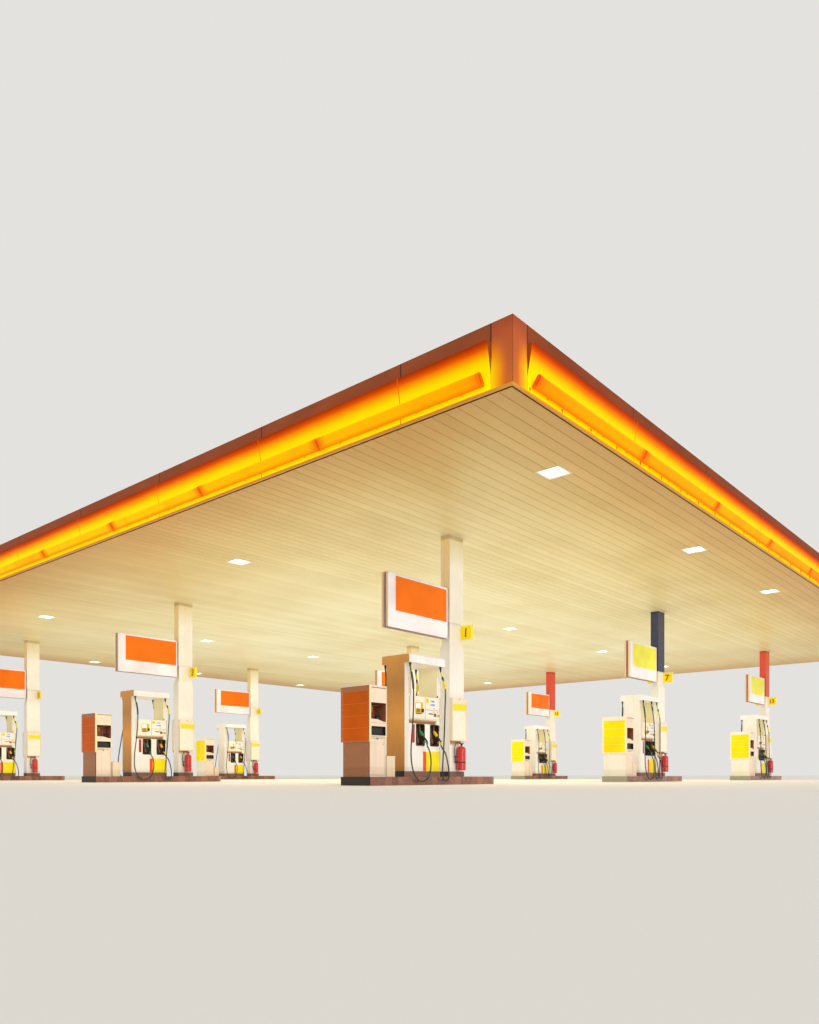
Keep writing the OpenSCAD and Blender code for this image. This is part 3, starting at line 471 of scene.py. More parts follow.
def both_ways(bm):
    """Adds the mirror image across Y of everything in bm."""
    copy = bmesh.ops.duplicate(bm, geom=bm.verts[:] + bm.edges[:] + bm.faces[:])
    verts = [g for g in copy["geom"] if isinstance(g, bmesh.types.BMVert)]
    faces = [g for g in copy["geom"] if isinstance(g, bmesh.types.BMFace)]
    bmesh.ops.scale(bm, vec=(1, -1, 1), verts=verts)
    bmesh.ops.reverse_faces(bm, faces=faces)


def mesh_of(name, bm, smooth=False):
    """The mesh of what bm holds, with its faces of three or four corners smooth if asked."""
    mesh = bpy.data.meshes.new(name)
    if smooth:
        for face in bm.faces:
            face.smooth = len(face.verts) < 5
    bm.to_mesh(mesh)
    bm.free()
    return mesh


def settle(name, mesh, finish, body="root"):
    """Links a finished piece at the origin, gives it its finish and lets it ride on its body."""
    mesh.materials.clear()
    mesh.materials.append(FINISHES[finish])
    piece = bpy.data.objects.new(name, mesh)
    bpy.context.scene.collection.objects.link(piece)
    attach(piece, body)
    return piece


def single(name, bm, finish, body="root", smooth=False):
    """One piece of what bm holds, where it stands."""
    return settle(name, mesh_of(name, bm, smooth), finish, body)


def piece_tree(name, number, spread):
    """Geometry Nodes that set a piece on points. The function spread makes the points and their turns."""
    tree = bpy.data.node_groups.get(name)
    if tree:
        return tree
    tree = bpy.data.node_groups.new(name, "GeometryNodeTree")
    face = tree.interface
    face.new_socket("Geometry", in_out="INPUT", socket_type="NodeSocketGeometry")
    face.new_socket("Piece", in_out="INPUT", socket_type="NodeSocketObject")
    face.new_socket("Finish", in_out="INPUT", socket_type="NodeSocketMaterial")
    face.new_socket(number, in_out="INPUT", socket_type="NodeSocketFloat")
    face.new_socket("Geometry", in_out="OUTPUT", socket_type="NodeSocketGeometry")
    given = add(tree, "NodeGroupInput").outputs
    points, angles, size = spread(tree, given)
    piece = add(tree, "GeometryNodeObjectInfo", inputs={"Object": given["Piece"], "As Instance": True})
    placed = add(tree, "GeometryNodeInstanceOnPoints", inputs={
        "Points": points, "Instance": piece.outputs["Geometry"], "Rotation": angles, "Scale": size})
    real = add(tree, "GeometryNodeRealizeInstances", inputs={0: placed.outputs[0]})
    done = add(tree, "GeometryNodeSetMaterial", inputs={"Geometry": real.outputs[0], "Material": given["Finish"]})
    add(tree, "NodeGroupOutput", inputs={0: done.outputs[0]})
    return tree


def at_points(tree, given):
    """The points as they are, each turned by its own angle, with the piece at a common size."""
    turn = add(tree, "GeometryNodeInputNamedAttribute", {"data_type": "FLOAT"}, {"Name": "turn"}).outputs[0]
    angles = add(tree, "ShaderNodeCombineXYZ", inputs={"Z": turn}).outputs[0]
    return given["Geometry"], angles, given["Size"]


def along_path(tree, given):
    """Points at an even spacing along the paths, turned so that the piece's X runs with the path."""
    path = add(tree, "GeometryNodeMeshToCurve", inputs={0: given["Geometry"]}).outputs[0]
    spread = add(tree, "GeometryNodeResampleCurve", {"mode": "LENGTH"}, {"Curve": path, "Length": given["Spacing"]})
    tangent = add(tree, "GeometryNodeInputTangent").outputs[0]
    angles = add(tree, "FunctionNodeAlignRotationToVector", {"axis": "X", "pivot_axis": "Z"}, {"Vector": tangent})
    return spread.outputs[0], angles.outputs[0], (1, 1, 1)


def grown(name, tree, base, unit, finish, number):
    """Runs a tree on a base mesh with one piece, and returns the plain mesh that it makes."""
    carrier = bpy.data.objects.new(name + "_base", base)
    piece = bpy.data.objects.new(name + "_piece", unit)
    for each in (carrier, piece):
        bpy.context.scene.collection.objects.link(each)
    modifier = carrier.modifiers.new("Pieces", "NODES")
    modifier.node_group = tree
    inputs = [i for i in tree.interface.items_tree if i.in_out == "INPUT"]
    modifier[inputs[1].identifier] = piece
    modifier[inputs[2].identifier] = FINISHES[finish]
    modifier[inputs[3].identifier] = number
    graph = bpy.context.evaluated_depsgraph_get()
    mesh = bpy.data.meshes.new_from_object(carrier.evaluated_get(graph), depsgraph=graph)
    bpy.data.objects.remove(carrier)
    bpy.data.objects.remove(piece)
    mesh.name = name
    if not mesh.polygons:
        raise RuntimeError(f"{name} came out empty")
    return mesh


def copies(name, bm, places, finish, smooth=False):
    """One piece for all the copies of what bm holds, at places of (x, y, z, turn in degrees)."""
    base = bpy.data.meshes.new(name + "_places")
    base.from_pydata([p[:3] for p in places], [], [])
    turns = base.attributes.new("turn", "FLOAT", "POINT")
    turns.data.foreach_set("value", [math.radians(p[3]) for p in places])
    tree = piece_tree("Copies", "Size", at_points)
    return settle(name, grown(name, tree, base, mesh_of(name + "_unit", bm, smooth), finish, 1.0), finish)


def row(name, bm, paths, spacing, finish, smooth=False):
    """One piece for a row of what bm holds along open paths."""
    verts = [p for path in paths for p in path]
    edges, n = [], 0
    for path in paths:
        edges += [(n + k, n + k + 1) for k in range(len(path) - 1)]
        n += len(path)
    base = bpy.data.meshes.new(name + "_path")
    base.from_pydata(verts, edges, [])
    tree = piece_tree("Row", "Spacing", along_path)
    return settle(name, grown(name, tree, base, mesh_of(name + "_unit", bm, smooth), finish, spacing), finish)


def island_places(islands=ISLANDS):
    """The middle of the column of each island."""
    return [(x, y, 0, 0) for x, y, *_ in islands]


def dispenser_places(islands=ISLANDS):
    """The middle of each dispenser."""
    return [(x + DISPENSER_X, y, 0, 0) for x, y, *_ in islands]


def both_faces(name, draw, places, finish, smooth=False):
    """A piece drawn for the -Y side, with its mirror image on the +Y side, at every place."""
    bm = bmesh.new()
    draw(bm)
    both_ways(bm)
    return copies(name, bm, places, finish, smooth)


# Finishes


# Zones of a finish: a colour and the limits of the place that has it, measured from the column of its island. The
# faces of the first row that look along -X carry painted warm light and shade, warmer and deeper than the rest.
FIRST_ROW_PAINTED_LIGHT = {"row": (-1.5, -0.5), "face": (-1.5, -0.6)}
SERVICE_ZONES = [
    ("#EFDCC4", {"x": (-2.9475, -2.5), "off": (0.3445, 0.376)}),
    ("#F4E3A8", {"x": (-3.0, -2.947), "off": (0.3762, 0.39)}),
    # Painted shade: a dark strip down the first row's lower corner, under the overhanging rim.
    ("#3A2A20", {"row": (-1.5, -0.5), "x": (-2.9705, -2.948), "off": (0.344, 0.346), "z": (0.1, 0.8305)}),
    # Painted warm light and shade on the first row's ends that look along -X: brown below and above, burnt orange round
    # the panel.
    ("#A0683C", {**FIRST_ROW_PAINTED_LIGHT, "z": (0.1, 0.8305)}),
    ("#C05A14", {**FIRST_ROW_PAINTED_LIGHT, "z": (0.8305, 1.786)}),
    ("#A8683A", {**FIRST_ROW_PAINTED_LIGHT, "z": (1.786, 1.888)}),
    # Painted shade inside the unit: in the bin behind the door, in the open recess, and in the tray recess, darker
    # towards its top.
    ("#7A4A28", {"x": (-2.9455, -2.5345), "off": (-0.1, 0.3205), "z": (0.19, 0.96)}),
    ("#2A1D15", {"x": (-2.93, -2.55), "off": (-0.1, 0.3745), "z": (0.9597, 1.1153)}),
    ([(1.2, "#A8684A"), (1.57, "#8A5036")], {"x": (-2.9455, -2.5345), "off": (0.07, 0.3745), "z": (1.1995, 1.5705)}),
]


def dispenser_zones(end):
    """The first row's end faces in painted warm light, deeper below and above, painted light on the inner faces of the
    posts under the head, and the painted shade of the ledge under the display.
    """
    return [
        # Painted light on the inner faces of the posts under the head, pale as if lit from the ceiling.
        ("#FFF4C6", {"x": (DISPENSER_X - 0.4406, DISPENSER_X + 0.4406), "off": (-0.1, 0.244), "z": (1.8, 2.4395)}),
        ("#A87444", {"x": (DISPENSER_X - 0.44, DISPENSER_X + 0.44), "off": (-0.1, 0.19), "z": (1.2455, 1.3195)}),
        ("#F6F6F8", {"off": (0.2, 0.6), "z": (2.4405, 2.8)}),
        # Painted warm light and shade on the first row's ends that look along -X, lighter and darker up the face.
        ([(0.28, shade(end, 0.9)), (0.9, shade(end, 1.0)), (1.35, shade(end, 1.1)), (2.0, shade(end, 0.9)),
          (2.62, shade(end, 1.06))], {**FIRST_ROW_PAINTED_LIGHT, "x": (DISPENSER_X - 0.575, DISPENSER_X - 0.568)}),
    ]


def powder_coat(name, colour, rough=0.4, grime=0.3, zones=(), lip=0.0):
    """Polyester powder baked on sheet metal: an even, slightly orange-peel skin with a soft sheen, a little
    dust that has run down in streaks, and more of it near the ground. A lip by the cove is gilded by its light."""
    material, tree, shader, place = begin(name, IOR=1.5)
    z = split(tree, place)[2]
    cloud = noise(tree, place, 1.3, 4.0)
    run = noise(tree, place, 5.0, 4.0, 0.6, (2.2, 2.2, 0.12))
    low = maths(tree, "SUBTRACT", 1.0, slope(tree, z, 0.1, 1.1))
    dust = maths(tree, "ADD", maths(tree, "MULTIPLY", slope(tree, run, 0.52, 0.78), 0.5),
                 maths(tree, "MULTIPLY", low, cloud), clamp=True)
    tone = mix(tree, slope(tree, cloud, 0.35, 0.7), "#F4F3F1", "#FFFFFF")
    tone = mix(tree, maths(tree, "MULTIPLY", dust, grime), tone, "#9C9488")
    skin = zoned(tree, place, colour, zones)
    if lip:
        skin = mix(tree, maths(tree, "LESS_THAN", edge_distance(tree, place), lip), skin, "#E09A24")
    tree.links.new(mix(tree, 1.0, skin, tone, "MULTIPLY"), shader.inputs["Base Color"])
    roughen(tree, shader, cloud, 0.16, rough - 0.08)
    relief(tree, shader, noise(tree, place, 420.0, 2.0), 0.0006)
    return material


def ceiling_enamel(name, colour, width):
    """Coil-coated aluminium strip: smooth cream enamel with a low sheen, with the warm light of the lit cornice painted
    in towards the edges of the roof, and a faint tone of its own on each board."""
    material, tree, shader, place = begin(name, Roughness=0.4, IOR=1.5)
    y = split(tree, place)[1]
    board = maths(tree, "FLOOR", maths(tree, "DIVIDE", maths(tree, "ADD", y, FIRST_BOARD), width))
    own = add(tree, "ShaderNodeTexWhiteNoise", {"noise_dimensions": "1D"}, {"W": board}).outputs["Value"]
    edge = edge_distance(tree, place)
    # Painted light: the warm glow of the cornice on the boards, strongest at the edges of the roof and gone nine metres
    # in.
    warm = ramp(tree, slope(tree, edge, 0.0, 9.0), [
        (0.0, "#E6B878"), (0.09, "#EEC98E"), (0.25, "#F9E6BC"), (0.5, "#FDF4DC"), (1.0, "#FFFFFF")])
    cloud = mix(tree, slope(tree, noise(tree, place, 0.35, 4.0), 0.4, 0.75), "#FFFFFF", "#F3EDDC")
    tone = mix(tree, 1.0, mix(tree, 1.0, mix(tree, own, "#F6F4EE", "#FFFFFF"), warm, "MULTIPLY"), cloud, "MULTIPLY")
    tree.links.new(mix(tree, 1.0, tone, colour, "MULTIPLY"), shader.inputs["Base Color"])
    return material


def bay(tree, place, shifts, pitches):
    """The number of the length of cornice a point is in, how far it is from the nearest joint, and 1 on the two
    sides that look along X. Shifts and pitches give the joints of the long and of the short sides."""
    x, y = split(tree, place)[:2]
    side = maths(tree, "GREATER_THAN", maths(tree, "ABSOLUTE", x), ROOF_X / 2 - 0.15)
    along = add(tree, "ShaderNodeMix", {"data_type": "FLOAT"}, {0: side, 2: x, 3: y}).outputs[0]
    pitch = maths(tree, "MULTIPLY_ADD", side, pitches[1] - pitches[0], pitches[0])
    shift = maths(tree, "MULTIPLY_ADD", side, shifts[1] - shifts[0], shifts[0])
    steps = maths(tree, "DIVIDE", maths(tree, "SUBTRACT", maths(tree, "ABSOLUTE", along), shift), pitch)
    part = maths(tree, "MULTIPLY", maths(tree, "FRACT", steps), pitch)
    number = maths(tree, "MULTIPLY_ADD", side, 40.0, maths(tree, "FLOOR", steps))
    number = maths(tree, "MULTIPLY_ADD", maths(tree, "SIGN", along), 7.0, number)
    return number, maths(tree, "MINIMUM", part, maths(tree, "SUBTRACT", pitch, part)), side


def cove_acrylic(name, glow):
    """Acrylic sheet of the cove with the light of the bar below painted in: its colour runs from lemon yellow by the
    light bar to burnt orange at the sharp top edge as the painted light falls off, and it gives off some light of its
    own as a painted glow. The returned ends of each run are dark with painted shade."""
    material, tree, shader, place = begin(name, Roughness=0.5, IOR=1.49, Specular_IOR_Level=0.02)
    drift = maths(tree, "MULTIPLY", maths(tree, "SUBTRACT", noise(tree, place, 0.6, 3.0), 0.5), 0.07)
    height = maths(tree, "ADD", slope(tree, split(tree, place)[2], CORNICE_Z, CORNICE_Z + BAND_Z), drift)
    # Painted light: the wash of the light bar, brightest low down and falling off towards the top edge.
    colour = ramp(tree, height, [
        (0.0, "#F4B010"), (0.03, "#FFEE00"), (0.34, "#FFE800"), (0.5, "#FFDE00"), (0.59, "#FFD000"),
        (0.66, "#FFBE00"), (0.72, "#FFA400"), (0.79, "#F07C00"), (0.86, "#D45600"), (0.93, "#B83C00"),
        (1.0, "#982C00")])
    joint, side = bay(tree, place, *PANEL_JOINTS)[1:]
    # Painted light: the two sides that look along X take a slightly different tint of the bar's light.
    colour = mix(tree, 1.0, colour, mix(tree, side, "#FAF4FF", "#FFFFFF"), "MULTIPLY")
    colour = mix(tree, maths(tree, "LESS_THAN", joint, 0.007), colour, "#D86C00")
    # Painted shade: the returned ends by the corner posts, where the bar's light doesn't reach.
    colour = mix(tree, maths(tree, "LESS_THAN", corner_distance(tree, place), POST + 0.0035), colour, "#8A4418")
    light_up(tree, shader, colour, glow)
    return material


def bar_acrylic(name, glow):
    """Translucent orange acrylic over a lamp: soft and even, deep orange by the corners of the roof and lighter
    along the sides, with redder caps at the ends of each length and a red lower edge."""
    material, tree, shader, place = begin(name, Roughness=0.45, IOR=1.49, Specular_IOR_Level=0.03)
    z = split(tree, place)[2]
    number, end, side = bay(tree, place, *BAR_JOINTS)
    own = add(tree, "ShaderNodeTexWhiteNoise", {"noise_dimensions": "1D"}, {"W": number}).outputs["Value"]
    body = ramp(tree, slope(tree, corner_distance(tree, place), 0.0, 10.0), [
        (0.04, "#FFA000"), (0.16, "#FFB600"), (0.35, "#FFBC00"), (0.8, "#FFC400")])
    hot = slope(tree, noise(tree, place, 1.6, 2.0), 0.5, 0.72)
    body = mix(tree, maths(tree, "MULTIPLY", hot, 0.45), body, "#FF9A08")
    body = mix(tree, slope(tree, own, 0.45, 1.0), body, "#FF9400")
    body = mix(tree, slope(tree, end, 0.22, 0.069), body, "#FF8A0A")
    body = mix(tree, maths(tree, "LESS_THAN", end, 0.0685), body, "#EE7A0C")
    body = mix(tree, maths(tree, "LESS_THAN", end, 0.0185), body, "#D85E0A")
    low = slope(tree, z, CORNICE_Z + 0.04, CORNICE_Z + 0.1)
    body = mix(tree, 1.0, body, mix(tree, side, "#FFE2FF", "#FFFFFF"), "MULTIPLY")
    colour = mix(tree, low, "#F07C00", body)
    light_up(tree, shader, colour, glow)
    return material


def cornice_paint(name, colour, glow):
    """Weathered satin paint on folded aluminium: brick brown, darker on the shaded sides, with the glow of the
    cove on the corner posts, a fine dark line down each corner and slow changes of tone along each length."""
    material, tree, shader, place = begin(name, IOR=1.5, Specular_IOR_Level=0.08)
    z = split(tree, place)[2]
    cloud = noise(tree, place, 0.9, 4.0, 0.6, (1, 1, 2.5))
    tone = mix(tree, slope(tree, cloud, 0.3, 0.7), shade(colour, 0.93), shade(colour, 1.1))
    facing = maths(tree, "ABSOLUTE", split(tree, add(tree, "ShaderNodeNewGeometry").outputs["Normal"])[0])
    tone = mix(tree, maths(tree, "MULTIPLY", facing, 0.3), tone, "#7E4A2C")
    tone = mix(tree, 1.0, tone, mix(tree, facing, "#DCD8CC", "#FFFFFF"), "MULTIPLY")
    corner = corner_distance(tree, place)
    post = maths(tree, "LESS_THAN", corner, POST + 0.0015)
    up = slope(tree, z, CORNICE_Z, CORNICE_TOP)
    out = slope(tree, corner, 0.03, POST)
    lit = maths(tree, "MULTIPLY", maths(tree, "POWER", out, 1.2),
                maths(tree, "SUBTRACT", 1.0, slope(tree, up, 0.3, 0.8)))
    skin = ramp(tree, up, [(0.0, "#CC6C2C"), (0.35, "#C0622E"), (0.75, shade(colour, 1.2)), (1.0, shade(colour, 1.04))])
    glowing = ramp(tree, lit, [(0.0, "#C4622E"), (0.3, "#E27A20"), (0.65, "#FFB000"), (1.0, "#FFE000")])
    skin = mix(tree, slope(tree, lit, 0.03, 0.3), skin, glowing)
    line = maths(tree, "MULTIPLY", maths(tree, "GREATER_THAN", corner, POST - 0.012), slope(tree, up, 0.4, 0.5))
    skin = mix(tree, line, skin, "#6E4A2E")
    skin = mix(tree, maths(tree, "LESS_THAN", corner, 0.0045), skin, "#7A3A22")
    # The band and posts give off a little of the cove's light: a painted glow.
    light_up(tree, shader, mix(tree, post, tone, skin), glow * 0.3)
    roughen(tree, shader, cloud, 0.2, 0.5)
    return material


def sheet_acrylic(name, colour, glow=0.08, joints=None, zones=()):
    """Lit acrylic sign sheet: flat, faintly glossy and evenly bright, a little paler where the lamps stand
    behind, with paler joints where the sheet is parted."""
    material, tree, shader, place = begin(name, Roughness=0.35, IOR=1.49, Specular_IOR_Level=0.1)
    made = mix(tree, slope(tree, noise(tree, place, 1.1, 2.0), 0.35, 0.65), shade(colour, 0.94), shade(colour, 1.03))
    if joints:
        z = split(tree, place)[2]
        for level in (1.0914, 1.3225, 1.5536):
            made = mix(tree, maths(tree, "COMPARE", z, level, 0.0026), made, joints)
    light_up(tree, shader, zoned(tree, place, made, zones), glow)
    return material


def lamp_opal(name):
    """Opal glass over a strong lamp: white, smooth, and brighter than anything round it."""
    material, tree, shader, place = begin(
        name, Roughness=0.2, IOR=1.5, Emission_Color=(1, 0.98, 0.94, 1), Emission_Strength=4.0)
    tree.links.new(mix(tree, noise(tree, place, 6.0, 2.0), "#FFFFFF", "#F4F2EC"), shader.inputs["Base Color"])
    return material


def zinc(name, colour="#A9ADB0", rough=0.42):
    """Hot-dip galvanised steel: dull silver-grey with the large pale and dark spangles of the zinc."""
    material, tree, shader, place = begin(name, Metallic=0.85)
    spangle = add(tree, "ShaderNodeTexVoronoi", inputs={"Vector": place, "Scale": 45.0}).outputs["Color"]
    grey = split(tree, spangle)[0]
    tree.links.new(mix(tree, grey, shade(colour, 0.86), shade(colour, 1.08)), shader.inputs["Base Color"])
    roughen(tree, shader, grey, 0.14, rough - 0.07)
    return material


def roof_coat(name, colour="#A8ABAA"):
    """Coil-coated roof sheet: satin grey, with rain streaks that follow the fall and grime in the low parts."""
    material, tree, shader, place = begin(name, IOR=1.5)
    run = noise(tree, place, 2.0, 5.0, 0.65, (0.12, 3.0, 1.0))
    cloud = noise(tree, place, 0.25, 5.0, 0.6)
    dirt = maths(tree, "MULTIPLY", slope(tree, run, 0.45, 0.75), slope(tree, cloud, 0.3, 0.8))
    tone = mix(tree, cloud, shade(colour, 0.94), shade(colour, 1.06))
    tree.links.new(mix(tree, maths(tree, "MULTIPLY", dirt, 0.6), tone, shade(colour, 0.6)),
                   shader.inputs["Base Color"])
    roughen(tree, shader, run, 0.25, 0.3)
    return material


def concrete(name, colour="#A59E92"):
    """Floated concrete: matt grey with fine sand, darker damp clouds, and oil spots by the pumps."""
    material, tree, shader, place = begin(name, Roughness=0.85, IOR=1.45)
    sand = noise(tree, place, 160.0, 3.0)
    spots = slope(tree, noise(tree, place, 9.0, 2.0), 0.66, 0.74)
    tone = mix(tree, noise(tree, place, 2.5, 6.0, 0.6), shade(colour, 0.85), shade(colour, 1.12))
    fine = mix(tree, 0.35, tone, ramp(tree, sand, [(0.3, "#9A9A9A"), (0.7, "#FFFFFF")]), "MULTIPLY")
    tree.links.new(mix(tree, maths(tree, "MULTIPLY", spots, 0.5), fine, "#5B5148"), shader.inputs["Base Color"])
    relief(tree, shader, sand, 0.002)
    return material


def kerb_glaze(name, colour):
    """Glazed clay tile: plum brown and glossy, each tile fired a little lighter or darker than the next by its
    own tone, with dust on some of them."""
    material, tree, shader, place = begin(name, Roughness=0.26, IOR=1.52, Coat_Weight=0.4, Coat_Roughness=0.08)
    own = add(tree, "ShaderNodeAttribute", {"attribute_name": "tone"}).outputs["Fac"]
    tone = ramp(tree, own, [(0.0, shade(colour, 0.8)), (0.6, colour), (1.0, shade(colour, 1.16))])
    dust = slope(tree, noise(tree, place, 12.0, 4.0), 0.5, 0.8)
    tree.links.new(mix(tree, maths(tree, "MULTIPLY", dust, 0.35), tone, "#A78E7A"), shader.inputs["Base Color"])
    relief(tree, shader, noise(tree, place, 30.0, 2.0), 0.001)
    return material


def grout(name, colour="#A08A78"):
    """Cement grout between the tiles: matt, sandy and stained."""
    material, tree, shader, place = begin(name, Roughness=0.9)
    tree.links.new(mix(tree, noise(tree, place, 25.0, 4.0), shade(colour, 0.8), shade(colour, 1.1)),
                   shader.inputs["Base Color"])
    return material


def hose_rubber(name, colour):
    """Nitrile rubber hose: black, faintly glossy where hands polish it and grey with dust elsewhere."""
    material, tree, shader, place = begin(name, IOR=1.52)
    cloud = noise(tree, place, 7.0, 4.0)
    tree.links.new(mix(tree, slope(tree, cloud, 0.45, 0.8), colour, shade(colour, 1.6)), shader.inputs["Base Color"])
    roughen(tree, shader, cloud, 0.35, 0.3)
    relief(tree, shader, noise(tree, place, 300.0, 2.0), 0.0005)
    return material


def moulded(name, colour, rough=0.45, zones=()):
    """Injection-moulded plastic with a fine spark-eroded grain: even colour, a soft sheen, and scuffs that
    have rubbed some of it dull."""
    material, tree, shader, place = begin(name, IOR=1.5)
    scuff = noise(tree, place, 22.0, 4.0, 0.6)
    tone = mix(tree, slope(tree, scuff, 0.35, 0.8), "#E8E8E8", "#FFFFFF")
    tree.links.new(mix(tree, 1.0, zoned(tree, place, colour, zones), tone, "MULTIPLY"), shader.inputs["Base Color"])
    roughen(tree, shader, scuff, 0.22, rough - 0.1)
    relief(tree, shader, noise(tree, place, 260.0, 2.0), 0.0004)
    return material


def brushed(name, colour="#B9B7B2", rough=0.34):
    """Brushed stainless steel: fine upright hair lines that spread the highlights."""
    material, tree, shader, place = begin(name, Metallic=1.0)
    hair = noise(tree, place, 60.0, 3.0, 0.6, (14.0, 14.0, 0.4))
    tree.links.new(mix(tree, hair, shade(colour, 0.88), shade(colour, 1.08)), shader.inputs["Base Color"])
    roughen(tree, shader, hair, 0.2, rough - 0.1)
    return material


def enamel(name, colour, rough=0.18):
    """Stoved gloss enamel on a steel shell: deep colour, sharp highlights, and small dull knocks."""
    material, tree, shader, place = begin(name, IOR=1.52, Coat_Weight=0.5, Coat_Roughness=0.08)
    cloud = noise(tree, place, 14.0, 4.0)
    tree.links.new(mix(tree, slope(tree, cloud, 0.55, 0.8), colour, shade(colour, 0.78)),
                   shader.inputs["Base Color"])
    roughen(tree, shader, cloud, 0.2, rough - 0.06)
    return material


def film(name, colour, rough=0.32):
    """Self-adhesive vinyl film: flat saturated colour with a slight gloss and faint handling marks."""
    material, tree, shader, place = begin(name, IOR=1.5, Specular_IOR_Level=0.3)
    cloud = noise(tree, place, 9.0, 4.0)
    tree.links.new(mix(tree, cloud, shade(colour, 0.94), shade(colour, 1.04)), shader.inputs["Base Color"])
    roughen(tree, shader, cloud, 0.15, rough - 0.05)
    return material


def display_glass(name, colour, glow):
    """Lit liquid crystal window behind clear glass: smooth, cool and bright."""
    material, tree, shader, place = begin(name, Roughness=0.08, IOR=1.5)
    light_up(tree, shader, mix(tree, noise(tree, place, 30.0, 2.0), shade(colour, 0.94), shade(colour, 1.04)), glow)
    return material


FINISHES = {}


